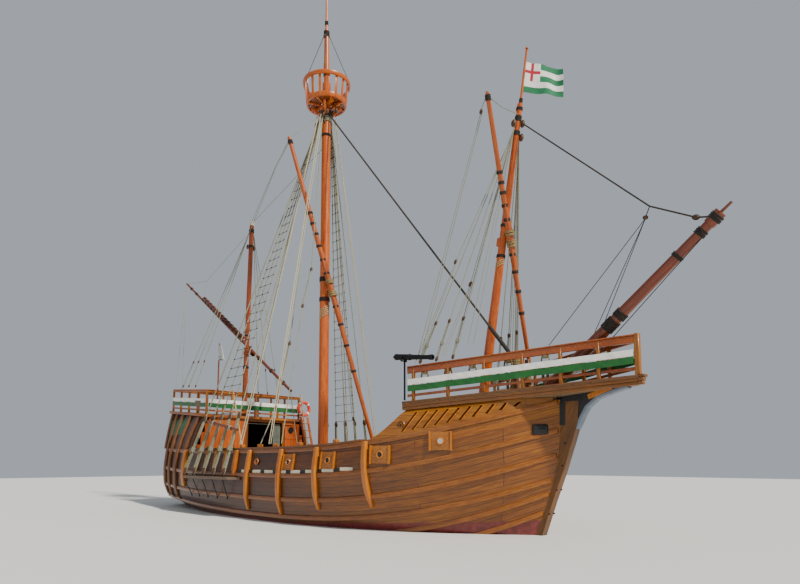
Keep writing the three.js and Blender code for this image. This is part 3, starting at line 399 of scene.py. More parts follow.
# finish: name, tones, grain, ring spacing in mm, varnish, roughness, weathering, boards
upright, level = (0, 0, 1), (1, 0, 0.06)
mainRake, foreRake = (-0.1, -0.275, 0.956), (0.1, -0.37, 0.92)
woods = {
    "planking2": ("varnishedOakBoard", "#5b2d02 #905207 #b3700b", (1, 0, 0), 30, 0.15, 0.44),
    "wale": ("varnishedOakWale", "#462001 #7b4003 #a4650b", None, 22, 0.22, 0.34),
    "rider": ("varnishedPineRider", "#793602 #ac5e05 #c77a0a", upright, 26, 0.2, 0.38, 0.12),
    "mast": ("varnishedSpruceMast", "#842d00 #ba5101 #d37309", upright, 40, 0.25, 0.34, 0.1),
    "mastRing": ("varnishedAshHoop", "#903c01 #be5a04 #cf7a0b", None, 26, 0.28, 0.3),
    "mizzen": ("varnishedLarchMast", "#632202 #9b4005 #ba5e08", upright, 36, 0.23, 0.38, 0.3),
    "sprit": ("varnishedLarchSprit", "#481503 #782d06 #9b4a0a", (0.78, 0, 0.62), 38, 0.25, 0.36),
    "mainYard": ("varnishedSpruceYard", "#792a00 #a84a03 #c46809", mainRake, 34, 0.23, 0.36, 0.15),
    "foreYard": ("varnishedSpruceYardFore", "#792a00 #a84a03 #c46809", foreRake, 32, 0.23, 0.36, 0.15),
    "lateen": ("varnishedLarchYard", "#3d1302 #6a2807 #863f0b", (0.832, 0, -0.555), 30, 0.2, 0.4),
    "stem": ("varnishedOakStem", "#341b02 #6a3f07 #905e0b", (0.5, 0, 0.86), 30, 0.12, 0.48),
    "channel": ("weatheredOakChannel", "#3e3026 #6e5a48 #94806a", None, 22, 0.0, 0.6),
    "bead": ("turnedBoxwoodBead", "#8a6a3c #b8935a #d8b880", upright, 12, 0.05, 0.56),
    "block": ("oiledElmBlock", "#231309 #472a14 #6b4422", upright, 18, 0.05, 0.56),
    "darkMast": ("varnishedFirSpar", "#4d1f05 #713209 #8f490d", upright, 34, 0.23, 0.38),
    "rail": ("varnishedPineRail", "#642a01 #974f04 #b6700b", level, 24, 0.17, 0.42),
    "castleRail": ("varnishedOregonRail", "#5c2100 #8c3d02 #a85b06", level, 24, 0.2, 0.4),
    "castleBeam": ("varnishedOakBeam", "#502c02 #814a07 #a3690c", None, 24, 0.17, 0.4),
    "castleWall": ("varnishedOakWall", "#683204 #9b5c09 #bb7e10", None, 30, 0.17, 0.4, 0.25, wallBoards),
    "post": ("varnishedPinePost", "#673202 #975504 #b4760a", upright, 24, 0.17, 0.42),
    "beam": ("oiledOakBeam", "#42250e #6d4017 #8c5a25", None, 26, 0.055, 0.5),
    "timber": ("tarredOakTimber", "#1c120b #38241a #54382a", upright, 30, 0.05, 0.61),
    "deck": ("scrubbedPineDeck", "#6e5a42 #a08662 #c0a680", None, 18, 0, 0.68, 0.25, deckBoards),
    "deckFlat": ("scrubbedPineDecking", "#6e5a42 #a08662 #c0a680", (1, 0, 0), 18, 0, 0.68, 0.25, deckBoards),
    "door": ("varnishedMahoganyDoor", "#772801 #ac4a02 #c76609", upright, 22, 0.25, 0.36),
}
finishes = {key: addWood(*row)[0] for key, row in woods.items()}
finishes["planking"] = varnishedPlanking()


# Oil paint over wood or iron: one colour, brushed on, dulled and scuffed
def addPaint(name, colour, worn, rough=0.4, metal=0.0):
    material, tree, shader = newMaterial(name)
    here = objectSpace(tree)
    cloud = noise(tree, here, 3.0, 7.0, 0.68)
    tint = ramp(tree, cloud, [(0.35, colour), (0.55, colour), (0.78, worn)], "scuffs")
    gloss = ramp(tree, cloud, [(0.3, rough), (0.8, min(rough + 0.25, 1.0))], "gloss")
    tree.links.new(gloss, shader.inputs["Roughness"])
    dress(tree, shader, tint, noise(tree, here, 90.0, 3.0), 0.25, 0.001)
    shader.inputs["Metallic"].default_value = metal
    return material


# Old window glass: a dark, smooth pane that mirrors the sky
def addGlass():
    material, tree, shader = newMaterial("oldCrownGlass")
    ripple = noise(tree, objectSpace(tree), 6.0, 2.0)
    tint = ramp(tree, ripple, [(0.3, "#0c1413"), (0.7, "#1c2a28")], "depth")
    shader.inputs["Roughness"].default_value = 0.06
    dress(tree, shader, tint, ripple, 0.3, 0.003)
    return material


# Laid rope: strands that spiral round it, with loose fibre. lay is the strand spacing in mm.
def addRope(name, dark, light, lay=14):
    material, tree, shader = newMaterial(name)
    here = objectSpace(tree)
    wave = addNode(tree, "ShaderNodeTexWave", {
        "bands_direction": "DIAGONAL", "Scale": 1000 / lay / 3, "Distortion": 0.6, "Detail": 1.0,
    }, {"Vector": here}).outputs["Fac"]
    age = maths(tree, "MULTIPLY", noise(tree, here, 1.7, 5.0), 0.45)
    tint = ramp(tree, maths(tree, "MULTIPLY_ADD", wave, 0.55, age), [(0.2, dark), (0.75, light)], "strands")
    shader.inputs["Roughness"].default_value = 0.85
    height = maths(tree, "MULTIPLY_ADD", noise(tree, here, 160.0, 3.0), 0.3, wave)
    dress(tree, shader, tint, height, 0.6, 0.003)
    return material


finishes.update({
    "glass": addGlass(),
    # black oil paint, also used as painted shade inside the hawse holes and port holes
    "blackPaintAndShade": addPaint("blackOilPaintAndHoleShade", "#121214", "#2b2a2a", 0.32),
    "paleRim": addPaint("greyLeadPaint", "#76828f", "#59636c", 0.5),
    "iron": addPaint("tarredIron", "#18181a", "#3a2a20", 0.5, 0.6),
    "green": addPaint("greenOilPaint", "#0b5a34", "#1e4636", 0.4),
    # pale lime paint, also used as painted daylight in the freeing ports
    "limeAndDaylight": addPaint("limewashAndPaintedDaylight", "#d8cdb4", "#a89a80", 0.7),
    "buoyRed": addPaint("redBuoyPaint", "#d4381c", "#b8553c", 0.5),
    "buoyWhite": addPaint("whiteBuoyPaint", "#ece8de", "#c8c2b4", 0.5),
    "brass": addPaint("castBrass", "#d9d4c4", "#9a927c", 0.3, 1.0),
    "tarred": addRope("tarredHemp", "#17130f", "#3a3128"),
    "stay": addRope("tarredStay", "#1b1714", "#45392c", 22),
    "pale": addRope("newManila", "#8f8464", "#cfc5a2", 12),
    "grey": addRope("weatheredHemp", "#5f5e4a", "#a3a184", 14),
    "tan": addRope("wornManila", "#6e5a38", "#a8925f", 12),
})
print("finishes ready")

# the hull's lines: height of each strake at the stern, amidships and at the stem, and where it meets the stem
lines = {
    "midX": 0.3, "maxHalf": 3.1, "widestZ": 1.2, "stemHalf": 0.11,
    "sternX": -8.65, "sternRake": 0.1, "foreSweep": 3.0, "aftSweep": 2.4,
}
strakes = {
    "garboard": (-1.85, -1.85, -1.85, 5.8), "floor": (-1.3, -1.6, -1.2, 7.65),
    "bilge": (-0.7, -1.25, -0.5, 8.27),
    "wale5": (-0.25, -0.8, 0.57, 8.76), "wale4": (0.1, -0.3, 1.06, 8.95), "wale3": (0.5, 0.2, 1.4, 9.06),
    "wale2": (1.0, 0.72, 2.01, 9.21), "wale1": (1.65, 1.42, 2.63, 9.28), "rail": (2.45, 2.25, 3.4, 9.3),
}
planksBetween = (2, 2, 2, 3, 3, 3, 4, 4)      # planks from each strake of the table up to the next
transomHalf = (
    (-1.85, 0.11), (-0.25, 0.11), (0.1, 1.3), (0.5, 2.05), (1.0, 2.2), (1.65, 2.2),
    (2.45, 2.09), (3.95, 1.83),
)
stemAt = [(stemZ, stemX) for sternZ, midZ, stemZ, stemX in strakes.values()]
hullSteps = [-1 + 2 * i / 96 for i in range(97)]


def readTable(table, where):
    if where <= table[0][0]:
        return table[0][1]
    for (lowAt, lowValue), (highAt, highValue) in zip(table, table[1:]):
        if where <= highAt:
            return lerp(lowValue, highValue, (where - lowAt) / (highAt - lowAt))
    return table[-1][1]


def sternAt(z):
    return lines["sternX"] - lines["sternRake"] * z


def halfBeam(z):
    if z > lines["widestZ"]:
        return lines["maxHalf"] - 0.13 * (z - lines["widestZ"]) ** 2
    depth = min((lines["widestZ"] - z) / 3.25, 1)
    return lines["maxHalf"] * (1 - depth ** 2.4) ** 0.625


def hullHalf(x, z):
    beam = halfBeam(z)
    if x >= lines["midX"]:
        along = min((x - lines["midX"]) / (readTable(stemAt, z) - lines["midX"]), 1)
        fullness = 2.2 + (0.72 if z > 0 else 0.6) * z
        return lines["stemHalf"] + (beam - lines["stemHalf"]) * (1 - along ** fullness)
    along = min((lines["midX"] - x) / (lines["midX"] - sternAt(z)), 1)
    end = readTable(transomHalf, z)
    return end + (beam - end) * (1 - along ** (2.6 + 0.5 * z))


# A point on a strake, or between two; step runs from -1 at the stern to 1 at the stem
def onStrake(row, step, side, proud=0.0, lift=0.0):
    sternZ, midZ, stemZ, stemX = row
    endX, endZ, sweep = (sternAt(sternZ), sternZ, "aftSweep") if step < 0 else (stemX, stemZ, "foreSweep")
    x, z = lerp(lines["midX"], endX, abs(step)), lerp(midZ, endZ, abs(step) ** lines[sweep])
    return Vector((x, side * (hullHalf(x, z) + proud), z + lift))


def strakeZ(name, x):
    sternZ, midZ, stemZ, stemX = strakes[name]
    end = lines["midX"] - sternAt(sternZ) if x < lines["midX"] else stemX - lines["midX"]
    power, tip = (lines["aftSweep"], sternZ) if x < lines["midX"] else (lines["foreSweep"], stemZ)
    return lerp(midZ, tip, min(abs(x - lines["midX"]) / end, 1) ** power)


# Planked sides: a grid from keel to rail on each side, then given thickness
def plankedSides():
    names = list(strakes)
    rows = []
    for count, low, high in zip(planksBetween, names, names[1:]):
        for k in range(2 * count):
            rows.append([lerp(a, b, k / (2 * count)) for a, b in zip(strakes[low], strakes[high])])
    rows.append(list(strakes["rail"]))
    halves = []
    for side in (-1, 1):
        points = [[onStrake(row, step, side) for step in hullSteps] for row in rows]
        for column in points[0]:
            column.y = side * lines["stemHalf"]
        halves.append(shapedGrid(
            len(hullSteps) - 1, len(rows) - 1, lambda i, j: points[j][i],
            lambda i, j: (points[-1][i].x + side * 3.1, 0.1 * j),
        ))
    hull = joinAll(halves)
    tidyMesh(hull)
    modify(hull, "SOLIDIFY", thickness=0.12, offset=-1, use_even_offset=False)
    settle(hull, "plankedSides", "planking", stands="hull")


# Boards that meet in a chevron at the middle line: where a point of them lies in the planking's figure
def chevron(y, z):
    return 0.77 * abs(y) + 0.64 * z, 0.64 * abs(y) - 0.77 * z


# The flat transom, planked slantwise from its middle line
def transomFace():
    levels = [-0.25, 0.1, 0.5, 1.0, 1.35, 1.65, 2.05, 2.45]
    across = 12

    def place(i, j):
        z = levels[j]
        return Vector((sternAt(z) - 0.004, (2 * i / across - 1) * readTable(transomHalf, z), z))

    face = shapedGrid(
        across, len(levels) - 1, place, lambda i, j: chevron((2 * i / across - 1) * 2.2, levels[j]),
    )
    modify(face, "SOLIDIFY", thickness=0.05, offset=1)
    settle(face, "transomPlanking", "planking")


# Wales and the rail wale: thick strakes that stand proud, rounded on their outer edges
wales = {
    "names": ("wale5", "wale4", "wale3", "wale2", "wale1", "rail"),
    "high": 0.13, "proud": 0.055, "root": 0.04,
}


def addWales():
    strips = []
    for name in wales["names"]:
        top = 0.0 if name == "rail" else wales["high"] / 2
        section = boxed(top - wales["high"], top, -wales["root"], wales["proud"])
        for side in (-1, 1):
            strips.append(sweptTimber([
                [onStrake(strakes[name], step, side, proud, lift) for lift, proud in section]
                for step in hullSteps[2:-1] + [0.997]
            ], 0.016))
    settle(strips, "wales", "wale")


# A timber that stands against the hull's side at x, through the given heights, between two reaches off it
def standing(x, heights, side, wide, inner, outer, edge):
    sections = []
    for k, z in enumerate(heights):
        half = hullHalf(x, z)
        sections.append([
            Vector((x + a * wide[k] / 2, side * (half + b), z)) for a, b in boxed(-1, 1, inner, outer[k])
        ])
    return sweptTimber(sections, edge)


# Riders: upright rubbing timbers over the wales: x, foot, width, how far they stand out
riders = (
    (4.96, 0.62, 0.15, 0.12), (3.14, 0.48, 0.15, 0.12), (1.43, 0.26, 0.15, 0.12), (-0.39, 0.3, 0.15, 0.12),
    (-1.25, 1.34, 0.18, 0.1), (-2.0, 1.34, 0.11, 0.07), (-2.7, 1.34, 0.11, 0.07), (-3.4, 1.34, 0.11, 0.07),
    (-4.1, 1.34, 0.11, 0.07), (-5.3, 0.9, 0.24, 0.12), (-6.3, 0.35, 0.2, 0.1), (-7.2, 0.35, 0.2, 0.1),
    (-8.0, 0.45, 0.2, 0.1),
)


# They are bowed to the side and thinned at the foot
def addRiders():
    bright, dark = [], []
    for x, foot, wide, proud in riders:
        rise = [k / 12 for k in range(13)]
        heights = [lerp(foot, strakeZ("rail", x) - 0.02, f) for f in rise]
        widths = [wide * (0.72 + 0.28 * min(f * 3, 1)) for f in rise]
        outs = [proud * (0.55 + 0.45 * min(f * 5, 1)) for f in rise]
        for side in (-1, 1):
            (bright if x > -6 else dark).append(standing(x, heights, side, widths, -0.05, outs, 0.018))
    settle(bright, "brightRiders", "rider")
    settle(dark, "sternRiders", "beam")


# Rail cap over the bulwark, with kevel heads standing on it
railCap = {"thick": 0.06, "kevelX": (-3.6, -2.7, -1.9, -1.15, -0.05, 0.85, 2.15, 3.75), "kevelHigh": 0.11}


def addRailCap():
    strips, heads = [], []
    for side in (-1, 1):
        edges = [onStrake(strakes["rail"], step, side) for step in hullSteps if -0.6 < step < 0.52]
        strips.append(sweptTimber([
            [edge + Vector((0, -side * out, lift)) for out, lift in boxed(-0.06, 0.18, 0.0, railCap["thick"])]
            for edge in edges
        ], 0.018))
    settle(strips, "railCap", "beam")
    for x in railCap["kevelX"]:
        z = strakeZ("rail", x) + railCap["thick"]
        for side in (-1, 1):
            y = side * (hullHalf(x, z) - 0.07)
            bpy.ops.mesh.primitive_cube_add(size=1, location=(x, y, z + railCap["kevelHigh"] / 2 - 0.01))
            head = bpy.context.object
            head.scale = (0.17, 0.13, railCap["kevelHigh"])
            modify(head, "BEVEL", width=0.16, segments=3, limit_method="ANGLE")
            heads.append(head)
    settle(heads, "kevelHeads", "rider")


# Main deck, laid fore and aft, and the frames inside the bulwark
mainDeck = {"z": 1.35, "camber": 0.012, "aftX": -8.45, "step": 0.52, "columns": 32, "rows": 8}


def addMainDeck():
    rows = mainDeck["rows"]

    def place(i, j):
        x = mainDeck["aftX"] + i * mainDeck["step"]
        y = (2 * j / rows - 1) * max(hullHalf(x, mainDeck["z"]) - 0.1, 0.1)
        return Vector((x, y, mainDeck["z"] + mainDeck["camber"] * (1 - (2 * j / rows - 1) ** 2)))

    deck = shapedGrid(mainDeck["columns"], rows, place, lambda i, j: place(i, j).xy)
    modify(deck, "SOLIDIFY", thickness=0.06, offset=-1)
    settle(deck, "mainDeckPlanks", "deck")
    frames = []
    for i in range(19):
        x = -4.7 + i * 0.56
        heights = (1.36, 1.6, 1.85, strakeZ("rail", x) - 0.005)
        for side in (-1, 1):
            frames.append(sweptTimber([
                [
                    Vector((x + a * 0.055, side * (hullHalf(x, z) - 0.11 - b), z))
                    for a, b in boxed(-1, 1, 0.0, 0.1)
                ]
                for z in heights
            ], 0.01))
    settle(frames, "bulwarkFrames", "beam")


# The place and lie of something fixed to the hull's side: X along it, Y out of it, Z up it
def onSide(x, z, side, proud=0.0):
    here = Vector((x, side * hullHalf(x, z), z))
    ahead = (Vector((x + 0.15, side * hullHalf(x + 0.15, z), z)) - here).normalized()
    upward = (Vector((x, side * hullHalf(x, z + 0.15), z + 0.15)) - here).normalized()
    out = ahead.cross(upward).normalized()
    if out.y * side < 0:
        out = -out
    turn = Matrix((ahead, out, upward)).transposed().to_4x4()
    return Matrix.Translation(here + out * proud) @ turn


# Gunport lids: square boards on the topsides, each with a ring round its hole: x, z, width (0 for none)
portLids = ((0.1, 1.84, 0.0), (1.84, 1.83, 0.56), (3.62, 1.88, 0.56), (5.42, 2.03, 0.62), (7.0, 2.37, 0.6))


def addPortLids():
    boards, battens, rings, holes, bosses = [], [], [], [], []
    faceOut = Matrix.Rotation(math.pi / 2, 4, "X")
    for x, z, wide in portLids:
        for side in (-1, 1):
            place = onSide(x, z, side, 0.012)
            if wide:
                boards.append(box(place, (wide, 0.05, 0.47), 0.008, 2))
                for a in (-1, 1):
                    offset = Matrix.Translation((a * (wide / 2 - 0.025), 0.03, 0))
                    battens.append(box(place @ offset, (0.05, 0.03, 0.49)))
            rings.append(ringAt(place @ Matrix.Translation((0, 0.028, 0)) @ faceOut, 0.085, 0.018, 28))
            bpy.ops.mesh.primitive_cylinder_add(vertices=24, radius=0.083, depth=0.02)
            disc = bpy.context.object
            disc.matrix_world = place @ Matrix.Translation((0, 0.022, 0)) @ faceOut
            # aft of x = 6 the discs are black, painted shade in place of the holes; forward of it they are
            # brass bosses
            (bosses if x > 6 else holes).append(disc)
    settle(boards, "portLids", "planking2")
    settle(battens, "portLidBattens", "rider")
    settle(rings, "portRings", "rider")
    settle(holes, "portHoleShades", "blackPaintAndShade")
    settle(bosses, "portBosses", "brass")


# Freeing ports over the upper wale: dark slots with pale strips between them, painted daylight seen through
# the openings
freeing = {"from": -1.05, "to": 4.55, "z": 0.115, "slot": 0.24, "daylightStrip": 0.46, "high": 0.095}


def addFreeingPorts():
    slots, daylightStrips = [], []
    x, dark = freeing["from"], True
    while x < freeing["to"]:
        wide = freeing["slot"] if dark else freeing["daylightStrip"]
        z = strakeZ("wale1", x + wide / 2) + freeing["z"]
        for side in (-1, 1):
            made = box(onSide(x + wide / 2, z, side, 0.004), (wide, 0.02, freeing["high"]), 0.006)
            (slots if dark else daylightStrips).append(made)
        x, dark = x + wide, not dark
    settle(slots, "freeingSlots", "blackPaintAndShade")
    # the pale strips are painted light: daylight seen through the freeing ports
    settle(daylightStrips, "freeingDaylightStrips", "limeAndDaylight")


plankedSides()
transomFace()
addWales()
addRiders()
addRailCap()
addMainDeck()
addPortLids()
addFreeingPorts()
print("hull fitted")


# Bow: hawse holes in their chocks, the knee's painted rim and bracket, and the bolted stem
hawse = {"x": 8.95, "z": 2.64, "long": 0.36, "high": 0.22}


def hawseHoles():
    # the mouths are solid black boxes: painted shade in place of the open hawse holes
    for name, grow, deep in (("hawseRims", 0.02, 0.1), ("hawseMouthShade", -0.04, 0.115)):
        size = (hawse["long"] + grow * 2, deep, hawse["high"] + grow * 2)
        pair = [box(onSide(hawse["x"], hawse["z"], side, 0.012), size, 0.05, 4) for side in (-1, 1)]
        settle(pair, name, "blackPaintAndShade")


kneeCurve = [(9.712, 2.65), (9.88, 2.95), (10.01, 3.16), (10.27, 3.35), (10.7, 3.48), (11.04, 3.556)]


def kneeRim():
    sections = []
    for k in range(31):
        f = k / 30 * (len(kneeCurve) - 1)
        i = min(int(f), len(kneeCurve) - 2)
        a, b = (Vector((x, 0, z)) for x, z in kneeCurve[i:i + 2])
        ahead = (b - a).normalized()
        out = Vector((ahead.z, 0, -ahead.x))
        middle = a.lerp(b, f - i)
        sections.append([
            middle + Vector((0, y, 0)) + out * proud for y, proud in boxed(-0.108, 0.108, -0.055, 0.022)
        ])
    settle(sweptTimber(sections, 0.012), "kneeRim", "paleRim")
    brackets = [timber((10.06, y, 3.4), (10.66, y, 3.6), 0.05, 0.13, 0.012) for y in (-0.115, 0.115)]
    settle(brackets, "kneeBrackets", "rider")


def stemFittings():
    straps, bolts = [], []
    for side in (-1, 1):
        for z in (0.55, 1.15, 1.75, 2.3):
            x = readTable(stemAt, z) + 0.16
            bolts.append(spar((x, side * 0.108, z), (x, side * 0.118, z), 0.022, sides=12))
        straps.append(timber((9.32, side * 0.114, 2.75), (9.34, side * 0.114, 3.33), 0.016, 0.2, 0.004))
        straps.append(timber((9.86, side * 0.099, 3.38), (9.62, side * 0.099, 3.0), 0.012, 0.06, 0.004))
    settle(straps, "stemHeadPlates", "blackPaintAndShade")
    settle(bolts, "stemBolts", "iron")


hawseHoles()
kneeRim()
stemFittings()
print("bow fitted")


# Poop: planked cabin sides and transom under a deck that rises aft
poop = {
    "frontX": -5.1, "slope": 0.092, "underZ": 3.6, "thick": 0.09, "skin": 0.09,
    "timberX": (-5.45, -6.3, -7.2, -8.0, -8.72), "timberWide": 0.16, "timberProud": 0.09,
    "panels": ((-7.88, -7.32), (-7.08, -6.42), (-8.6, -8.12)), "panelLow": 2.95, "panelHigh": 3.62,
}


def poopUnder(x):
    return poop["underZ"] + poop["slope"] * (poop["frontX"] - x)


def poopTop(x):
    return poopUnder(x) + poop["thick"]


def poopSides():
    sheets = []
    for side in (-1, 1):
        def place(i, j):
            f = i / 26
            low = strakeZ("rail", lerp(poop["frontX"], -8.8, f)) - 0.03
            z = lerp(low, poopUnder(lerp(poop["frontX"], -9.0, f)) - 0.002, j / 8)
            x = lerp(poop["frontX"], sternAt(z), f)
            return Vector((x, side * hullHalf(x, z), z))
        sheet = shapedGrid(26, 8, place, lambda i, j: place(i, j).xz)
        modify(sheet, "SOLIDIFY", thickness=poop["skin"], offset=-side)
        sheets.append(sheet)
    return joinAll(sheets)


# The upper transom, with its two windows and the port that the tiller goes through: y, half width, low, high
sternHoles = ((-1.15, 0.22, 3.0, 3.42), (1.15, 0.22, 3.0, 3.42), (0, 0.4, 2.72, 3.12))


def upperTransom():
    def place(i, j):
        z = lerp(2.4, poopUnder(-9.0) - 0.004, j / 10)
        return Vector((sternAt(z), (2 * i / 24 - 1) * readTable(transomHalf, z), z))
    plate = shapedGrid(24, 10, place, lambda i, j: chevron(*place(i, j).yz))
    modify(plate, "SOLIDIFY", thickness=0.1, offset=0.9)
    for y, half, low, high in sternHoles:
        middle = (-8.95, y, (low + high) / 2)
        bpy.ops.mesh.primitive_cube_add(size=1, location=middle, scale=(1.2, 2 * half, high - low))
        cutOut(plate, bpy.context.object)
    return plate


def sternFrames():
    bars, panes = [], []

    def bar(start, end, thick, edge, back=0.0):
        (y, z), (y2, z2) = start, end
        bars.append(timber((sternAt(z) - back, y, z), (sternAt(z2) - back, y2, z2), thick, thick, edge))

    for y, half, low, high in sternHoles:
        corners = [(-1, low), (1, low), (1, high), (-1, high)]
        for (a, za), (b, zb) in zip(corners, corners[1:] + corners[:1]):
            reach = half + (0.03 if za == zb else 0.0)
            bar((y + a * reach, za), (y + b * reach, zb), 0.06, 0.01, 0.03)
        if y:
            middle = (low + high) / 2
            bar((y, low), (y, high), 0.025, 0.004)
            bar((y - half, middle), (y + half, middle), 0.025, 0.004)
            bpy.ops.mesh.primitive_cube_add(
                size=1, location=(sternAt(middle) + 0.02, y, middle), scale=(0.006, 2 * half, high - low),
            )
            panes.append(bpy.context.object)
            panes[-1].rotation_euler = (0, -math.atan(lines["sternRake"]), 0)
    settle(bars, "sternFrames", "rider")
    settle(panes, "sternPanes", "glass", smooth=0)


# Timbers up the poop's sides, with green panels in the bays between them
def poopTimbers():
    posts, panels = [], []
    for x in poop["timberX"]:
        heights = [lerp(strakeZ("rail", x) - 0.04, poopUnder(x + 0.08) - 0.003, k / 6) for k in range(7)]
        for side in (-1, 1):
            wide, proud = [poop["timberWide"]] * 7, [poop["timberProud"]] * 7
            posts.append(standing(x, heights, side, wide, -0.03, proud, 0.015))
    for x0, x1 in poop["panels"]:
        for side in (-1, 1):
            def place(i, j):
                x, z = lerp(x0, x1, i / 4), lerp(poop["panelLow"], poop["panelHigh"], j / 4)
                return Vector((x, side * (hullHalf(x, z) + 0.012), z))
            panel = shapedGrid(4, 4, place, lambda i, j: (i * 0.1, j * 0.1))
            modify(panel, "SOLIDIFY", thickness=0.02, offset=0)
            modify(panel, "BEVEL", width=0.006, segments=1, limit_method="ANGLE")
            panels.append(panel)
    settle(posts, "poopTimbers", "beam")
    settle(panels, "poopPanels", "green")


# Beam along the edge of the poop deck, and the deck's front and back beams
def poopEdgeBeams():
    beams = []
    for side in (-1, 1):
        sections = []
        for x in (-5.04, -6.0, -7.0, -8.0, -8.6, -9.1):
            near = max(x, -8.99)
            edge = hullHalf(near, poopUnder(near)) + 0.06
            sections.append([
                Vector((x, side * (edge + out), poopUnder(x) + lift))
                for lift, out in boxed(0.002, 0.11, -0.02, 0.035)
            ])
        beams.append(sweptTimber(sections, 0.018))
    front = (-5.035, hullHalf(-5.04, 3.6), poopUnder(-5.04))
    back = (-9.135, hullHalf(-8.99, 3.9), poopUnder(-9.13))
    for x, half, z in (front, back):
        beams.append(timber((x, -half - 0.06, z + 0.05), (x, half + 0.06, z + 0.05), 0.06, 0.11, 0.014))
    settle(beams, "poopEdgeBeams", "rail")


# Cabin front: upright boards either side of the doorway, a frame round it, and a beam over it
doorway = {"low": -0.36, "high": 1.39, "sill": 1.5, "head": 3.5, "x": -5.14, "frameX": -5.153}


def cabinFront():
    boards = []
    y = -2.72
    while y < 2.72:
        middle = y + 0.08
        top = poopUnder(doorway["x"]) - 0.003
        while top > 2.2 and hullHalf(doorway["x"], top) - 0.2 < abs(middle) + 0.08:
            top -= 0.05
        spans = [(1.355, top)]
        if doorway["low"] - 0.02 < middle < doorway["high"] + 0.02:
            spans = [(1.355, doorway["sill"]), (doorway["head"], top)]
        for low, high in spans:
            if high - low > 0.06 and hullHalf(doorway["x"], low) - 0.19 > abs(middle) + 0.08:
                boards.append(timber((doorway["x"], middle, low), (doorway["x"], middle, high), 0.157, 0.07))
        y += 0.16
    settle(boards, "cabinFront", "door", stands="poop_bulkhead")
    x, head = doorway["frameX"], doorway["head"]
    sides = [
        timber((x, y, 1.36), (x, y, head + 0.06), 0.11, 0.1, 0.012)
        for y in (doorway["low"] - 0.02, doorway["high"] + 0.03)
    ]
    bars = [
        timber((x, doorway["low"] - 0.1, z), (x, doorway["high"] + 0.1, z), wide, 0.1, 0.012)
        for z, wide in ((head + 0.05, 0.11), (1.45, 0.14))
    ]
    settle(sides + bars, "doorFrame", "post")


# One leaf of the door, folded back: upright boards on ledges, with a round light
leaf = {
    "x": -5.06, "hingeY": 1.435, "wide": 0.765, "low": 1.5, "high": 3.48,
    "light": Vector((-5.06, 1.75, 3.2)), "lightR": 0.1,
}


def cabinDoor():
    x, y, low, high = leaf["x"], leaf["hingeY"], leaf["low"], leaf["high"]
    each = leaf["wide"] / 5
    boards = []
    for k in range(5):
        middle = y + 0.005 + each * (k + 0.5)
        boards.append(timber((x, middle, low), (x, middle, high), each - 0.003, 0.036, 0.005))
    for z in (low + 0.12, high - 0.62, high - 0.08):
        boards.append(timber((x + 0.022, y + 0.01, z), (x + 0.022, y + leaf["wide"], z), 0.02, 0.1, 0.006))
    door = joinAll(boards)

    def disc(r, deep):
        bpy.ops.mesh.primitive_cylinder_add(
            vertices=32, radius=r, depth=deep, location=leaf["light"], rotation=(0, math.pi / 2, 0),
        )
        return bpy.context.object

    cutOut(door, disc(leaf["lightR"], 0.3))
    settle(door, "cabinDoorLeaf", "door", "cabin_door", stands="cabin_door")
    outer = Matrix.Translation(leaf["light"] + Vector((0.022, 0, 0)))
    ring = ringAt(outer @ Matrix.Rotation(math.pi / 2, 4, "Y"), leaf["lightR"] + 0.02, 0.022, 36)
    settle(ring, "doorLightRing", "iron", "cabin_door")
    settle(disc(leaf["lightR"] + 0.01, 0.008), "doorLightGlass", "glass", "cabin_door")
    hinges = []
    for z in (low + 0.12, high - 0.08):
        hinges.append(timber((x + 0.028, y - 0.01, z), (x + 0.028, y + 0.42, z), 0.008, 0.045, 0.003))
        hinges.append(spar((x, y, z - 0.05), (x, y, z + 0.05), 0.024, sides=12))
    settle(hinges, "doorHinges", "iron", "cabin_door")


# Rails: posts, a deep top rail with a thin cap, and a thin rail near the foot
def railRun(start, end, posts, high, beam, cap):
    start, end = Vector(start), Vector(end)

    def lift(f, z):
        return start.lerp(end, f) + Vector((0, 0, z))

    rails = [
        timber(lift(0, z), lift(1, z), wide, deep, edge) for z, wide, deep, edge in (
            (high - cap[1] - beam[1] / 2, *beam, 0.012), (high - cap[1] / 2, *cap, 0.0096),
            (0.17, 0.044, 0.07, 0.0072),
        )
    ]
    return rails, [timber(lift(f, 0.0), lift(f, high - cap[1] - 0.005), 0.08, 0.08, 0.0096) for f in posts]


poopCorner = {"front": Vector((-5.12, 2.2, poopTop(-5.12))), "back": Vector((-8.99, 1.8, poopTop(-8.99)))}


def poopRails():
    rails, posts = [], []
    front, back = poopCorner["front"], poopCorner["back"]
    sidePosts = (0, 0.25, 0.5, 0.75, 1)
    for start, end, places in (
        (front, back, sidePosts), (mirrored(front), mirrored(back), sidePosts),
        (front, mirrored(front), sidePosts[1:-1]), (back, mirrored(back), (0.33, 0.67)),
    ):
        made = railRun(start, end, places, 1.0, (0.085, 0.085), (0.125, 0.035))
        rails += made[0]
        posts += made[1]
    settle(rails, "poopRails", "rail", stands="poop_rail")
    settle(posts, "poopRailPosts", "post")


settle([poopSides(), upperTransom()], "poopPlanking", "planking", stands="poop_shell")
sternFrames()
poopTimbers()
poopEdgeBeams()
cabinFront()
cabinDoor()
poopRails()
print("poop built")


# Forecastle: a three-cornered platform that overhangs the bow, on slotted side walls
castle = {
    "aftX": 5.64, "half": 2.0, "z": 3.45, "tipX": 11.39, "slope": 0.0643, "thick": 0.22, "railHigh": 0.97,
    "posts": (0.03, 0.2, 0.37, 0.54, 0.7, 0.85),
}


def castleTop(x):
    return castle["z"] + castle["slope"] * (x - castle["aftX"])


def castleHalf(x):
    return castle["half"] * (castle["tipX"] - x) / (castle["tipX"] - castle["aftX"])


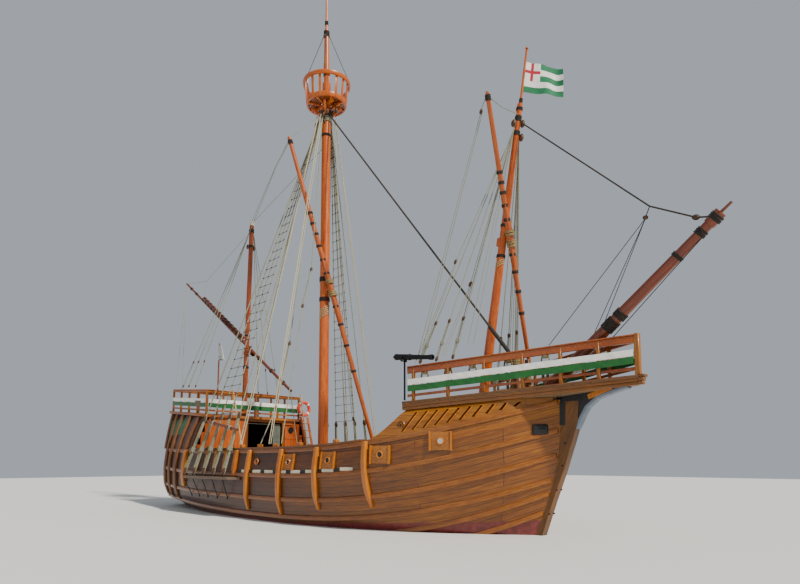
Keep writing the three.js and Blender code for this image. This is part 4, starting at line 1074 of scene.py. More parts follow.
# The edge of the platform: low, high, inner, outer and bevel of a lower beam, a moulding and a thin cap
edgeBands = (
    (-0.225, -0.14, -0.05, 0.012, 0.01), (-0.138, -0.05, -0.05, 0.03, 0.014),
    (-0.048, 0.012, -0.06, 0.055, 0.014),
)


def castleEdge():
    tip = castle["tipX"]
    aftX, foreX = castle["aftX"], tip - 0.14
    nose = castleHalf(foreX)
    strips = []
    for side in (-1, 1):
        def corner(x, y, push, out, z):
            return Vector((x + push, side * (y + out), castleTop(x) + z))
        for low, high, inner, outer, edge in edgeBands:
            sections = []
            for f in (0.0, 0.25, 0.5, 0.75, 1.0):
                sections.append([
                    corner(aftX, castle["half"], 0, out, z).lerp(corner(foreX, nose, out, out, z), f)
                    for z, out in boxed(low, high, inner, outer)
                ])
            strips.append(sweptTimber(sections, edge))
    beams, caps = strips[0:2] + strips[3:5], [strips[2], strips[5]]

    def crossBeam(x, half, z, wide, high):
        return timber((x, -half, z), (x, half, z), wide, high, 0.012)

    for z, out, high in ((-0.1825, 0.012, 0.085), (-0.094, 0.03, 0.088)):
        beams.append(crossBeam(tip - 0.08 + out, nose + out, castleTop(tip) + z, 0.14, high))
    caps.append(crossBeam(tip - 0.03, nose + 0.055, castleTop(tip) - 0.02, 0.16, 0.06))
    beams.append(crossBeam(5.63, castle["half"] + 0.01, 3.34, 0.05, 0.2))
    settle(beams, "castleEdgeBeams", "castleBeam")
    settle(caps, "castleEdgeCaps", "beam")


# Side walls that sweep up from the rail to the platform, with slots cut through them
slots = {"count": 10, "fromX": 5.96, "pitch": 0.285, "wide": 0.07, "margin": 0.09, "lean": 0.1}
bracket = {"fromX": 4.87, "power": 2.2}


def wallPoint(x, g, side, inset=0.0):
    low = strakeZ("rail", x)
    forward = (x - bracket["fromX"]) / (castle["aftX"] - bracket["fromX"])
    rise = max(min(max(forward, 0.02), 1) ** bracket["power"], 0.03)
    under = castleTop(x) - castle["thick"]
    outer = hullHalf(x, low)
    top = lerp(outer, max(min(castleHalf(x) - 0.05, hullHalf(x, under)), 0.11), rise)
    z = lerp(low - 0.02, low + (under - 0.002 - low) * rise, g)
    return Vector((x, side * (lerp(outer, top, g) - inset), z))


def slotEnds(x):
    return strakeZ("rail", x) + slots["margin"], castleTop(x) - castle["thick"] - slots["margin"]


def castleWalls():
    walls = []
    xs = [bracket["fromX"] + 0.06 * k for k in range(13)] + [5.7 + 0.1 * k for k in range(36)] + [9.24]
    for side in (-1, 1):
        def lay(i, j):
            spot = wallPoint(xs[i], j / 8, side)
            return spot.x, spot.z * 1.05
        wall = shapedGrid(len(xs) - 1, 8, lambda i, j: wallPoint(xs[i], j / 8, side), lay)
        modify(wall, "SOLIDIFY", thickness=0.09, offset=side)
        cutters = []
        for k in range(slots["count"]):
            x = slots["fromX"] + k * slots["pitch"]
            low, high = slotEnds(x)
            middle = (x + slots["wide"] / 2, side * 1.9, (low + high) / 2)
            bpy.ops.mesh.primitive_cube_add(size=1, location=middle)
            cutter = bpy.context.object
            cutter.scale = (slots["wide"], 2.4, high - low)
            pick(cutter)
            bpy.ops.object.transform_apply(location=False, rotation=False, scale=True)
            for vertex in cutter.data.vertices:
                vertex.co.x += slots["lean"] * vertex.co.z / (high - low)
            cutters.append(cutter)
        cutOut(wall, joinAll(cutters))
        walls.append(wall)
    settle(walls, "castleWalls", "castleWall", stands="forecastle_walls")


# Thin battens on the edges of each slot, and the turned ring on the wall aft of them
def wallTrim():
    battens, rings = [], []
    for side in (-1, 1):
        for k in range(slots["count"]):
            x = slots["fromX"] + k * slots["pitch"] + slots["wide"] + 0.012
            foot = strakeZ("rail", x)
            room = castleTop(x) - castle["thick"] - foot
            ends = [
                wallPoint(x + lean * slots["lean"] / 2, (z - foot) / room, side, -0.008)
                for lean, z in zip((-1, 1), slotEnds(x))
            ]
            battens.append(timber(*ends, 0.02, 0.022, 0.005))
        place = Matrix.Translation(wallPoint(5.82, 0.42, side, -0.02)) @ Matrix.Rotation(math.pi / 2, 4, "X")
        rings += [ringAt(place, 0.115, 0.022), ringAt(place, 0.05, 0.03)]
    settle(battens, "slotBattens", "rider")
    settle(rings, "wallRings", "castleBeam")


castleCorner = Vector((castle["aftX"] + 0.07, castle["half"] - 0.11, castleTop(castle["aftX"] + 0.07)))
castleNose = Vector((castle["tipX"] - 0.11, 0, castleTop(castle["tipX"] - 0.11)))


def castleRails():
    rails, posts = [], []
    for corner in (castleCorner, mirrored(castleCorner)):
        high = castle["railHigh"]
        made = railRun(corner, castleNose, castle["posts"], high, (0.085, 0.165), (0.125, 0.035))
        rails += made[0]
        posts += made[1]
    foot = castleNose - Vector((0.01, 0, 0))
    posts.append(timber(foot, foot + Vector((0, 0, castle["railHigh"] + 0.012)), 0.13, 0.12, 0.015))
    settle(rails, "castleRails", "castleRail", stands="forecastle_rail")
    settle(posts, "castleRailPosts", "post")


castleEdge()
castleWalls()
wallTrim()
# the breast hook ties the walls together at the bow
settle(timber((8.95, 0, 3.39), (9.24, 0, 3.39), 0.5, 0.085, 0.02), "breastHook", "timber")
castleRails()
print("forecastle built")


# Masts: round spruce spars with iron-dark bands and rope lashings
masts = {
    "main": {"foot": (-0.45, 0, 1.35), "head": (-0.55, 0, 16.5), "footR": 0.19, "headR": 0.165},
    "fore": {"foot": (6.8, 0, 3.5), "head": (8.27, 0, 11.76), "footR": 0.145, "headR": 0.075},
    "mizzen": {"foot": (-6.035, 0, 3.74), "head": (-5.83, 0, 12.43), "footR": 0.112, "headR": 0.095},
}


def mastShare(name, z):
    return (z - masts[name]["foot"][2]) / (masts[name]["head"][2] - masts[name]["foot"][2])


def onMast(name, z):
    return Vector(masts[name]["foot"]).lerp(Vector(masts[name]["head"]), mastShare(name, z))


def mastR(name, z):
    return lerp(masts[name]["footR"], masts[name]["headR"], mastShare(name, z))


def mastAxis(name):
    return Vector(masts[name]["head"]) - Vector(masts[name]["foot"])


# The pole itself, from a height on it or another foot, up to its head
def mastPole(name, foot, footR, sides):
    return spar(foot, masts[name]["head"], footR, masts[name]["headR"], sides)


# Turns of rope laid side by side round a spar
def ropeTurns(centre, axis, r, turns, ropeR, tilt=0.04):
    axis = Vector(axis).normalized()
    rings = []
    for k in range(turns):
        place = Vector(centre) + axis * (k - (turns - 1) / 2) * ropeR * 1.95
        matrix = Matrix.Translation(place) @ axisTurn(axis) @ Matrix.Rotation(tilt * ((k % 3) - 1), 4, "X")
        rings.append(ringAt(matrix, r + ropeR * 0.8, ropeR, 20, 6))
    return rings


def mastBands(name, bands, ropeR):
    rings = []
    for z, turns in bands:
        rings += ropeTurns(onMast(name, z), mastAxis(name), mastR(name, z), turns, ropeR)
    return rings


# A rope along given points, as a tube of real thickness; sag lets the middle of each leg hang
def ropeLine(points, r, sag=0.0, sides=6):
    points = [Vector(p) for p in points]
    if sag:
        hung = [points[0]]
        for a, b in zip(points, points[1:]):
            for f in [k / 10 for k in range(1, 11)]:
                hung.append(a.lerp(b, f) - Vector((0, 0, sag * (a - b).length * 4 * f * (1 - f))))
        points = hung
    rows = []
    for k, p in enumerate(points):
        before, after = points[max(k - 1, 0)], points[min(k + 1, len(points) - 1)]
        turn = (after - before).to_track_quat("Z", "Y")
        rows.append([p + turn @ polar(2 * math.pi * s / sides, r) for s in range(sides)])
    along = runningLengths(points)
    piece = shapedGrid(
        len(points) - 1, sides, lambda i, j: rows[i][j % sides],
        lambda i, j: (along[i], 2 * math.pi * r * j / sides),
    )
    tidyMesh(piece, fillHoles=True)
    return piece


# A wooden block: a rounded shell and a rope strop round it, each added to its own list
def addBlock(shells, strops, centre, along, size, facing=(0, 1, 0)):
    along = Vector(along).normalized()
    side = Vector(facing)
    side = (side - along * side.dot(along)).normalized()
    turn = Matrix.Translation(Vector(centre)) @ Matrix((side, along.cross(side), along)).transposed().to_4x4()
    bpy.ops.mesh.primitive_uv_sphere_add(segments=16, ring_count=10, radius=0.5)
    bpy.context.object.matrix_world = turn @ Matrix.Diagonal((size * 0.55, size * 0.72, size, 1))
    shells.append(bpy.context.object)
    girth = Matrix.Diagonal((size * 0.6, size * 0.78, size * 1.06, 1)) @ Matrix.Rotation(math.pi / 2, 4, "Y")
    strops.append(ringAt(turn @ girth, 0.5, 0.06, 24, 6))


def quarters(count, first):
    return [math.radians(first + 360 / count * k) for k in range(count)]


nest = {"x": -0.544, "z": 15.56, "floorR": 0.76, "rimR": 0.93, "staves": 16}
nestMiddle = Vector((nest["x"], 0, 0))


def mainMastParts():
    pole = mastPole("main", masts["main"]["foot"], masts["main"]["footR"], 32)
    settle(pole, "mainMastPole", "mast", stands="main_mast")
    middle = Vector((onMast("main", nest["z"]).x, 0, 0))
    knees = [
        timber(middle + polar(angle, 0.1, 15.06), middle + polar(angle, 0.56, 15.52), 0.09, 0.12, 0.015)
        for angle in quarters(4, 45)
    ]
    for y in (0.17, -0.17):
        knees.append(timber((middle.x - 0.62, y, 15.5), (middle.x + 0.62, y, 15.5), 0.08, 0.1, 0.01))
    knees.append(timber((-0.39, 0, 8.05), (-0.39, 0, 8.37), 0.18, 0.22, 0.02))
    settle(knees, "mastHounds", "mast")
    bands = mastBands("main", ((7.85, 6), (8.62, 7), (14.35, 4)), 0.013)
    settle(bands, "mainMastBands", "tarred")


# Topmast and pole, with the lashing and block at the topmast's head
def topmastParts():
    sticks = [
        spar((-0.55, 0, 16.46), (-0.6, 0, 18.8), 0.11, 0.09, 24),
        spar((-0.6, 0, 18.75), (-0.62, 0, 20.3), 0.055, 0.04),
    ]
    settle(sticks, "topmastAndPole", "mast", stands="main_topmast")
    turns = []
    for x, z, r, count, ropeR in (
        (-0.6, 18.62, 0.092, 9, 0.014), (-0.56, 16.9, 0.108, 6, 0.013), (-0.61, 19.1, 0.05, 8, 0.011),
    ):
        turns += ropeTurns((x, 0, z), (0, 0, 1), r, count, ropeR)
    settle(turns, "topmastLashings", "tarred")
    shells, strops = [], []
    addBlock(shells, strops, (-0.52, -0.16, 18.45), (0, 0, 1), 0.16)
    settle(shells, "truckBlock", "block")
    settle(strops, "truckBlockStrop", "tarred")
    nestMast = Vector((-0.6, 0, 0))
    shrouds = [
        ropeLine([nestMiddle + polar(angle, 0.9, 16.5), nestMast + polar(angle, 0.08, 18.62)], 0.011)
        for angle in quarters(4, 45)
    ]
    settle(shrouds, "topmastShrouds", "tarred")


# A closed profile of radius and height turned round an upright line
def lathed(profile, centre=(0, 0, 0), sides=48):
    count = len(profile)
    angles = [2 * math.pi * i / sides for i in range(sides + 1)]
    rows = [[Vector(centre) + polar(angle, r, z) for r, z in profile] for angle in angles]
    around = runningLengths([Vector((*spot, 0)) for spot in profile + profile[:1]])
    piece = shapedGrid(
        sides, count, lambda i, j: rows[i][j % count],
        lambda i, j: (profile[0][0] * angles[i], around[j]),
    )
    tidyMesh(piece)
    return piece


# Crow's nest: a boarded floor, a deep foot band, flat flared staves and a rim of two hoops
def crowsNest():
    x, floorR, rimR = nest["x"], nest["floorR"], nest["rimR"]
    centre = Vector((x, 0, nest["z"]))
    foot = [(floorR - 0.06, 0.0), (floorR + 0.005, 0.0), (floorR + 0.03, 0.17), (floorR - 0.03, 0.17)]
    rim = [(rimR - 0.085, 0.81), (rimR - 0.02, 0.81), (rimR, 0.95), (rimR - 0.07, 0.95)]
    hoops = joinAll([lathed(foot, centre), lathed(rim, centre)])
    modify(hoops, "BEVEL", width=0.008, segments=2, limit_method="ANGLE")
    settle(hoops, "nestHoops", "mastRing", stands="crows_nest")
    boards = []
    for k in range(11):
        y = -0.7 + 0.14 * k
        half = math.sqrt(max(floorR ** 2 - (abs(y) + 0.06) ** 2, 0.01))
        for a, b in ((0.19, half), (-0.19, -half)) if abs(y) < 0.24 else ((-half, half),):
            boards.append(timber((x + a, y, 15.61), (x + b, y, 15.61), 0.134, 0.05, 0.005))
    settle(boards, "nestFloor", "darkMast")
    ribs = [
        timber(nestMiddle + polar(angle, 0.2, 15.555), nestMiddle + polar(angle, 0.72, 15.555), 0.06, 0.06)
        for angle in quarters(8, 22.5)
    ]
    settle(ribs, "nestRibs", "mast")
    staves = []
    for angle in quarters(nest["staves"], 180 / nest["staves"]):
        low, high = centre + polar(angle, floorR + 0.005, 0.03), centre + polar(angle, rimR - 0.095, 0.9)
        across = polar(angle + math.pi / 2)
        rise = (high - low).normalized()
        turn = Matrix((across, across.cross(rise).normalized(), rise)).transposed().to_4x4()
        size = (0.1, 0.03, (high - low).length)
        staves.append(box(Matrix.Translation((low + high) / 2) @ turn, size, 0.006, 2))
    settle(staves, "nestStaves", "mast")
    blocks, strops = [], []
    for place, size in (
        ((-0.78, -0.26, 14.75), 0.34), ((-0.3, -0.32, 15.0), 0.2), ((-0.16, -0.24, 15.1), 0.2),
        ((-0.08, 0.12, 15.25), 0.22), ((-0.36, -0.22, 14.8), 0.18),
    ):
        addBlock(blocks, strops, place, (0.1, 0.05, 1), size, (0.7, 0.7, 0))
        held = (lerp(place[0], -0.54, 0.3), place[1] * 0.7, 15.55)
        strops.append(ropeLine([Vector(place) + Vector((0, 0, size / 2)), held], 0.012))
    settle(blocks, "nestBlocks", "block")
    settle(strops, "nestBlockStrops", "tarred")


def foreMastParts():
    pole = mastPole("fore", onMast("fore", castleTop(6.83) - 0.02), mastR("fore", 3.55), 28)
    aft = Vector((-0.1, 0, 0))
    cheek = timber(onMast("fore", 7.84) + aft, onMast("fore", 8.08) + aft, 0.16, 0.14, 0.02)
    settle([pole, cheek], "foreMastPole", "mast", stands="fore_mast")
    staff = [
        spar((8.275, 0, 11.7), (8.54, 0, 13.31), 0.038, 0.03),
        spar((8.536, 0, 13.29), (8.542, 0, 13.325), 0.05, 0.035),
    ]
    settle(staff, "foreFlagstaff", "mast", stands="fore_flagstaff")
    bands = mastBands("fore", ((7.55, 4), (8.4, 4), (10.95, 6), (11.35, 7), (11.62, 4)), 0.011)
    bands += ropeTurns((8.3, 0, 11.85), (0.165, 0, 1), 0.036, 6, 0.01)
    settle(bands, "foreMastBands", "tarred")


def mizzenMastParts():
    pole = mastPole("mizzen", onMast("mizzen", 3.76), masts["mizzen"]["footR"], 28)
    settle(pole, "mizzenMastPole", "mizzen", stands="mizzen_mast")
    shelf = lathed([(0.05, 0.0), (0.165, 0.0), (0.165, 0.06), (0.05, 0.06)], sides=32)
    shelf.matrix_world = Matrix.Translation(onMast("mizzen", 6.465)) @ axisTurn(mastAxis("mizzen"))
    settle(shelf, "mizzenShelf", "mizzen")
    bands = mastBands("mizzen", ((5.9, 5), (7.3, 3), (11.3, 5), (12.0, 7)), 0.011)
    settle(bands, "mizzenBands", "tarred")
    head = spar(onMast("mizzen", 12.25), onMast("mizzen", 12.43), 0.098, 0.098, 24)
    settle(head, "mizzenHead", "limeAndDaylight")


# Bowsprit with its collar, the pole past it, and its gammoning where it crosses the rail
sprit = {
    "heel": Vector((8.94, 0, 3.732)), "collar": Vector((12.95, 0, 6.923)),
    "shoulder": Vector((13.21, 0, 7.13)), "tip": Vector((13.43, 0, 7.29)), "heelR": 0.165, "shoulderR": 0.105,
}


def bowspritParts():
    heel, shoulder = sprit["heel"], sprit["shoulder"]
    stick = spar(heel, shoulder, sprit["heelR"], sprit["shoulderR"], 32)
    collar = spar(sprit["collar"], shoulder, 0.132, 0.132, 32)
    modify(collar, "BEVEL", width=0.012, segments=2, limit_method="ANGLE")
    settle([stick, collar], "bowspritSpar", "sprit", stands="bowsprit")
    settle(spar(shoulder, sprit["tip"], 0.035, 0.03), "bowspritPin", "darkMast")
    turns = []
    for f, count in ((0.4, 10), (0.46, 6), (0.78, 3), (0.9, 5)):
        r = lerp(sprit["heelR"], sprit["shoulderR"], f)
        turns += ropeTurns(heel.lerp(shoulder, f), shoulder - heel, r, count, 0.016)
    settle(turns, "bowspritLashings", "tarred")


mainMastParts()
topmastParts()
crowsNest()
foreMastParts()
mizzenMastParts()
bowspritParts()
print("masts stepped")


# Yards, with the lashings that hold their pieces together
yards = {
    "main": {
        "centre": (-0.12, 0, 8.21), "top": (-0.7, -1.58, 13.73), "low": (0.46, 1.58, 2.69),
        "midR": 0.1, "endR": 0.07, "pinX": -0.275, "pinR": 0.07,
        "bandsUp": (0.1, 0.19, 0.28, 0.36, 0.43, 0.5), "bandsDown": (0.12, 0.24, 0.38, 0.55),
    },
    "fore": {
        "centre": (7.84, 0, 7.96), "top": (8.21, -1.43, 11.47), "low": (7.505, 1.3, 4.77),
        "midR": 0.078, "endR": 0.058, "pinX": 7.735, "pinR": 0.055,
        "bandsUp": (0.14, 0.24, 0.33, 0.4, 0.47), "bandsDown": (0.12, 0.26, 0.42, 0.6),
    },
}


def yardParts(name):
    yard, body = yards[name], name + "_yard"
    centre, top, low = Vector(yard["centre"]), Vector(yard["top"]), Vector(yard["low"])
    midR, endR = yard["midR"], yard["endR"]
    run = top - low
    outward = run.normalized()
    parts = [
        spar(centre, top, midR, endR, 24), spar(centre, low, midR, endR, 24),
        spar((yard["pinX"], centre.y, centre.z), centre, yard["pinR"], sides=24),
        spar(top - outward * 0.02, top + outward * 0.045, endR * 0.75, endR * 0.55),
    ]
    settle(parts, name + "YardSpar", name + "Yard", body, stands=body)
    fish = []
    for side in (-1, 1):
        offset = Vector((midR * 0.55, side * 0.05, 0))
        ends = centre.lerp(low, 0.22) + offset, centre.lerp(top, 0.24) + offset
        fish.append(spar(*ends, midR * 0.5, midR * 0.42))
    settle(fish, name + "YardFishes", name + "Yard", body)
    bands = []
    for end, places in ((top, yard["bandsUp"]), (low, yard["bandsDown"])):
        for f in places:
            bands += ropeTurns(centre.lerp(end, f), run, lerp(midR, endR, f) * 1.02, 4, 0.011)
    bands += ropeTurns(centre.lerp(top, 0.97), run, endR * 1.05, 7, 0.011)
    settle(bands, name + "YardBands", "tarred", body)
    wraps = []
    for end, f, count in ((low, 0.035, 7), (top, 0.045, 6)):
        wraps += ropeTurns(centre.lerp(end, f) + Vector((0.02, 0, 0)), run, midR * 1.32, count, 0.014, 0.1)
    settle(wraps, name + "YardWraps", "tan", body)


# Parrels: slanting loops of rope strung with wooden beads, which hold a yard to its mast
def parrel(name, z, count, tiltBack, r, bead):
    cords, beads = [], []
    ring = mastR(name, z) + r * 1.6
    lean = Matrix.Rotation(math.radians(-35), 4, "Z") @ Matrix.Rotation(tiltBack, 4, "X")
    for k in range(count):
        place = Matrix.Translation(onMast(name, z + k * bead * 2.9)) @ lean
        cords.append(ringAt(place, ring, r, 32, 6))
        for s in range(14):
            bpy.ops.mesh.primitive_uv_sphere_add(segments=10, ring_count=6, radius=bead)
            bpy.context.object.matrix_world = place @ Matrix.Translation(polar(2 * math.pi * s / 14, ring))
            beads.append(bpy.context.object)
    settle(cords, name + "ParrelCords", "pale")
    settle(beads, name + "ParrelBeads", "bead")


# Lateen yard: two poles lashed side by side where they overlap, turning on a ring round the mizzen
lateen = {
    "peak": Vector((-12.57, 0.25, 11.08)), "low": Vector((-2.91, 0.25, 4.64)), "r": 0.075,
    "fishAft": Vector((-10.71, 0.29, 9.9)), "fishFore": Vector((-6.8, 0.29, 7.293)), "fishR": 0.0624,
    "lashings": 13,
}


def lateenParts():
    peak, low, r = lateen["peak"], lateen["low"], lateen["r"]
    aft, fore = lateen["fishAft"], lateen["fishFore"]
    middle = peak.lerp(low, 0.5)
    lift = Vector((0.045, 0, 0.068))
    foot = onMast("mizzen", 6.5255)
    hole = mastR("mizzen", 6.5) + 0.012
    ring = lathed([(hole, 0.0), (0.175, 0.0), (0.175, 0.09), (hole, 0.09)], sides=32)
    parts = [
        spar(middle, peak, r, r * 0.62, 24), spar(middle, low, r, r * 0.75, 24),
        spar(aft + lift, fore + lift, lateen["fishR"], sides=24),
        putAt(ring, Matrix.Translation(foot) @ axisTurn(mastAxis("mizzen"))),
        timber(foot + Vector((0, 0.15, 0.062)), foot + Vector((0, 0.26, 0.062)), 0.1, 0.09, 0.01),
    ]
    settle(parts, "lateenYard", "lateen", "mizzen_yard", stands="mizzen_yard")
    lashings = []
    for k in range(lateen["lashings"]):
        centre = aft.lerp(fore, (k + 0.4) / lateen["lashings"]) + Vector((0.02, -0.02, 0.03))
        lashings += ropeTurns(centre, fore - aft, 0.108, 3, 0.012)
    for f in (0.06, 0.12, 0.66, 0.75, 0.85, 0.94):
        lashings += ropeTurns(peak.lerp(low, f), low - peak, r * (0.75 if f < 0.2 else 0.98), 4, 0.011)
    lashings += ropeTurns(foot + Vector((0, 0.27, 0.06)), low - peak, 0.09, 12, 0.014)
    settle(lashings, "lateenLashings", "tarred", "mizzen_yard")


yardParts("main")
yardParts("fore")
parrel("main", 7.22, 5, 0.62, 0.013, 0.026)
parrel("fore", 7.3, 3, 0.5, 0.01, 0.02)
lateenParts()
print("yards crossed")


# Channels: thick boards edged with a moulding, and the chain plates under them
channels = {
    "aft": -4.75, "fore": -0.85, "z": 1.335, "thick": 0.09,
    "feet": (-4.48, -3.76, -3.04, -2.32, -1.6), "footY": 3.33, "headZ": 15.08,
}


def channelParts():
    for side, word in sideWords:
        sections = []
        for k in range(14):
            x = lerp(channels["aft"], channels["fore"], k / 13)
            inner = hullHalf(x, channels["z"]) + 0.002
            taper = inner + 4.2 * min(x - channels["aft"], channels["fore"] - x) + 0.03
            outer = min(lerp(3.37, 3.42, k / 13), taper)
            sections.append([
                Vector((x, side * y, channels["z"] + lift))
                for lift, y in boxed(-channels["thick"], 0.0, inner, outer)
            ])
        node = "channel_" + word.lower()
        settle(sweptTimber(sections, 0.014), "channel" + word, "channel", stands=node)
        plates, bolts = [], []
        for x in channels["feet"]:
            low = Vector((x + 0.03, side * (hullHalf(x, 0.62) + 0.075), 0.62))
            plates.append(timber((x, side * 3.365, 1.3), low, 0.05, 0.018, 0.004))
            plates.append(timber((x, side * 3.345, 1.34), (x, side * 3.335, 1.44), 0.05, 0.02, 0.004))
            bolts.append(spar(low, low + Vector((0, side * 0.03, 0)), 0.035, 0.03, 12))
        settle(plates + bolts, "chainPlates" + word, "iron")


# A tackle: two blocks with parts of rope between them
def addTackle(shells, ropeParts, low, high, parts, size, spread, r):
    low, high = Vector(low), Vector(high)
    along = (high - low).normalized()
    outward = Vector((0, 1, 0))
    across = outward.cross(along).normalized()
    for place in (low, high):
        addBlock(shells, ropeParts, place, along, size)
    for k in range(parts):
        offset = across * spread * (k / (parts - 1) - 0.5) + outward * spread * 0.18 * ((k % 2) * 2 - 1)
        ends = [low + offset + along * size * 0.4, high + offset * 0.7 - along * size * 0.4]
        ropeParts.append(ropeLine(ends, r))


def shroudSet(feet, head, tackleAt, rope, part, size, spread):
    shells, strands, standingParts = [], [], []
    for foot in feet:
        high = foot.lerp(head, tackleAt)
        addTackle(shells, strands, foot.lerp(head, 0.012), high, 5, size, spread, part)
        standingParts.append(ropeLine([high, head], rope))
        strands += ropeTurns(foot.lerp(head, tackleAt * 0.45), head - foot, spread * 0.46, 5, part)
    return shells, strands, standingParts


ratlinePlan = {
    "from": 3.55, "to": 14.5, "step": 0.34, "r": 0.009, "knotR": 0.03, "dip": Vector((0, 0, 0.012)),
}


def addRatlines(feet, head, name):
    rungs, knots = [], []
    z = ratlinePlan["from"]
    while z < ratlinePlan["to"]:
        f = (z - feet[0].z) / (head.z - feet[0].z)
        a, b, c = (feet[k].lerp(head, f) for k in (1, 2, 3))
        reach = (c - a).normalized() * 0.035
        dips = [p.lerp(q, 0.5) - ratlinePlan["dip"] for p, q in ((a, b), (b, c))]
        rungs.append(ropeLine([a - reach, a, dips[0], b, dips[1], c, c + reach], ratlinePlan["r"], sides=5))
        for place in (a, b, c):
            bpy.ops.mesh.primitive_ico_sphere_add(subdivisions=1, radius=ratlinePlan["knotR"], location=place)
            knots.append(bpy.context.object)
        z += ratlinePlan["step"]
    settle(rungs + knots, name, "tarred")


def mainShrouds():
    headZ = channels["headZ"]
    for side, word in sideWords:
        head = Vector((onMast("main", headZ).x, side * (mastR("main", headZ) + 0.06), headZ))
        feet = [Vector((x, side * channels["footY"], channels["z"] + 0.03)) for x in channels["feet"]]
        shells, strands, standingParts = shroudSet(feet, head, 0.15, 0.021, 0.016, 0.24, 0.15)
        settle(shells, "shroudBlocks" + word, "block")
        settle(strands, "shroudTackles" + word, "grey", stands="main_shrouds_" + word.lower())
        settle(standingParts, "shrouds" + word, "grey")
        addRatlines(feet, head, "ratlines" + word)
    seizing = ropeTurns(onMast("main", headZ), mastAxis("main"), mastR("main", headZ) + 0.01, 9, 0.02)
    settle(seizing, "shroudSeizing", "grey")


# How far out the forecastle rail stands at x
def castleRailY(x):
    return castleCorner.y * (1 - (x - castleCorner.x) / (castleNose.x - castleCorner.x))


foreExtras = ((7.11, 1.42, 4.86, 0.009), (7.36, 1.33, 4.9, 0.009), (7.52, 1.28, 4.92, 0.008))


def foreShrouds():
    headZ = 11.05
    for side, word in sideWords:
        head = Vector((onMast("fore", headZ).x, side * (mastR("fore", headZ) + 0.04), headZ))
        feet = [
            Vector((x, side * castleRailY(x), castleTop(x) + castle["railHigh"] + 0.02))
            for x in (6.05, 6.5, 6.95)
        ]
        shells, strands, standingParts = shroudSet(feet, head, 0.17, 0.014, 0.009, 0.13, 0.075)
        settle(shells, "foreShroudBlocks" + word, "block")
        settle(strands, "foreShroudTackles" + word, "grey", stands="fore_shrouds_" + word.lower())
        back = 0.0 if side < 0 else 0.5       # to port they lead aft, clear of the yard's foot as it swings
        extras = [ropeLine([head, (x - back, side * (y + 0.38 * back), z)], r) for x, y, z, r in foreExtras]
        settle(standingParts + extras, "foreShrouds" + word, "grey")


def mizzenShrouds():
    ropeParts, shells = [], []
    front, back = poopCorner["front"], poopCorner["back"]
    for side in (-1, 1):
        head = onMast("mizzen", 11.9) + Vector((0, side * 0.11, 0))
        for x in (-6.5, -7.3, -8.0):
            y = lerp(front.y, back.y, (x - front.x) / (back.x - front.x))
            foot = Vector((x, side * y, poopTop(x) + 1.0))
            high = foot.lerp(head, 0.17)
            addTackle(shells, ropeParts, foot.lerp(head, 0.02), high, 3, 0.12, 0.06, 0.008)
            ropeParts.append(ropeLine([high, head], 0.013))
        addBlock(shells, ropeParts, onMast("mizzen", 11.25) + Vector((0, side * 0.16, 0)), (0, 0, 1), 0.2)
    settle(ropeParts, "mizzenShrouds", "grey")
    settle(shells, "mizzenBlocks", "block")


# Stays: the main stay ends in a long served eye at the bitts; the fore stay runs to the bowsprit head
def stays():
    top, end = Vector((-0.3, 0, 15.08)), Vector((8.13, -0.28, 4.48))
    line = ropeLine([top, top.lerp(end, 0.5), end], 0.03, sides=10)
    settle(line, "mainStay", "stay", stands="main_stay")
    served = [ropeLine([top.lerp(end, 0.9), end.lerp(top, 0.004)], 0.055, sides=12)]
    served += ropeTurns((8.13, -0.28, 4.36), (0, 0, 1), 0.085, 5, 0.026)
    served += ropeTurns((-0.5, 0, 15.2), (0, 0, 1), mastR("main", 15.2) + 0.02, 4, 0.028)
    settle(served, "mainStayServing", "tarred")
    route = [(8.19, 0, 11.31), (11.71, 0, 7.72), (12.7, 0, 7.16), (13.11, 0, 7.06)]
    settle(ropeLine(route, 0.02, sides=10), "foreStay", "stay", stands="fore_stay")
    shells, ropeParts = [], []
    addBlock(shells, ropeParts, (12.7, 0, 7.16), (1, 0, -0.4), 0.15)
    addBlock(shells, ropeParts, (11.6, 0, 7.48), (1, 0, -0.4), 0.12)
    for start, foot, r in (
        ((11.71, 0, 7.72), (11.6, 0, 7.48), 0.011), ((11.6, 0, 7.46), (10.41, -0.3, 4.62), 0.009),
        ((11.6, 0, 7.46), (9.36, -0.66, 4.68), 0.009), ((11.6, 0, 7.46), (9.75, 0.53, 4.7), 0.009),
        ((13.0, 0, 6.85), (10.77, -0.18, 4.74), 0.01),
    ):
        ropeParts.append(ropeLine([start, foot], r))
    ropeParts += ropeTurns((13.1, 0, 7.04), (0.78, 0, 0.62), 0.13, 5, 0.016)
    settle(shells, "foreStayBlocks", "block")
    settle(ropeParts, "foreBridle", "tarred")


# Running rigging that hangs from the tops to the rails.
# Pale runners: masthead, rail and radius; to port they lead aft, clear of the yard's foot as it swings
runners = (
    ((-0.62, 0.33, 15.1), (-1.24, 2.93, 2.42), 0.02), ((-0.5, 0.38, 15.1), (-1.1, 2.93, 2.42), 0.016),
    ((-0.42, 0.34, 15.1), (0.62, 2.97, 2.4), 0.018), ((-0.35, 0.3, 15.1), (0.72, 2.97, 2.4), 0.013),
)
# tackles: low block, high block, size, spread, part radius, masthead, rail
tackles = (
    ((0.23, -1.5, 7.21), (0.04, -1.02, 8.67), 0.17, 0.09, 0.013, (-0.38, -0.3, 15.0), (1.3, -2.96, 2.4)),
    ((0.0, -2.35, 3.6), (-0.36, -1.6, 5.95), 0.2, 0.1, 0.016, (-0.62, -0.3, 15.0), (0.1, -2.95, 2.42)),
    ((-2.0, 2.75, 3.6), (-1.72, 2.1, 6.6), 0.18, 0.1, 0.014, (-0.62, 0.3, 15.0), (-2.08, 2.93, 2.7)),
)
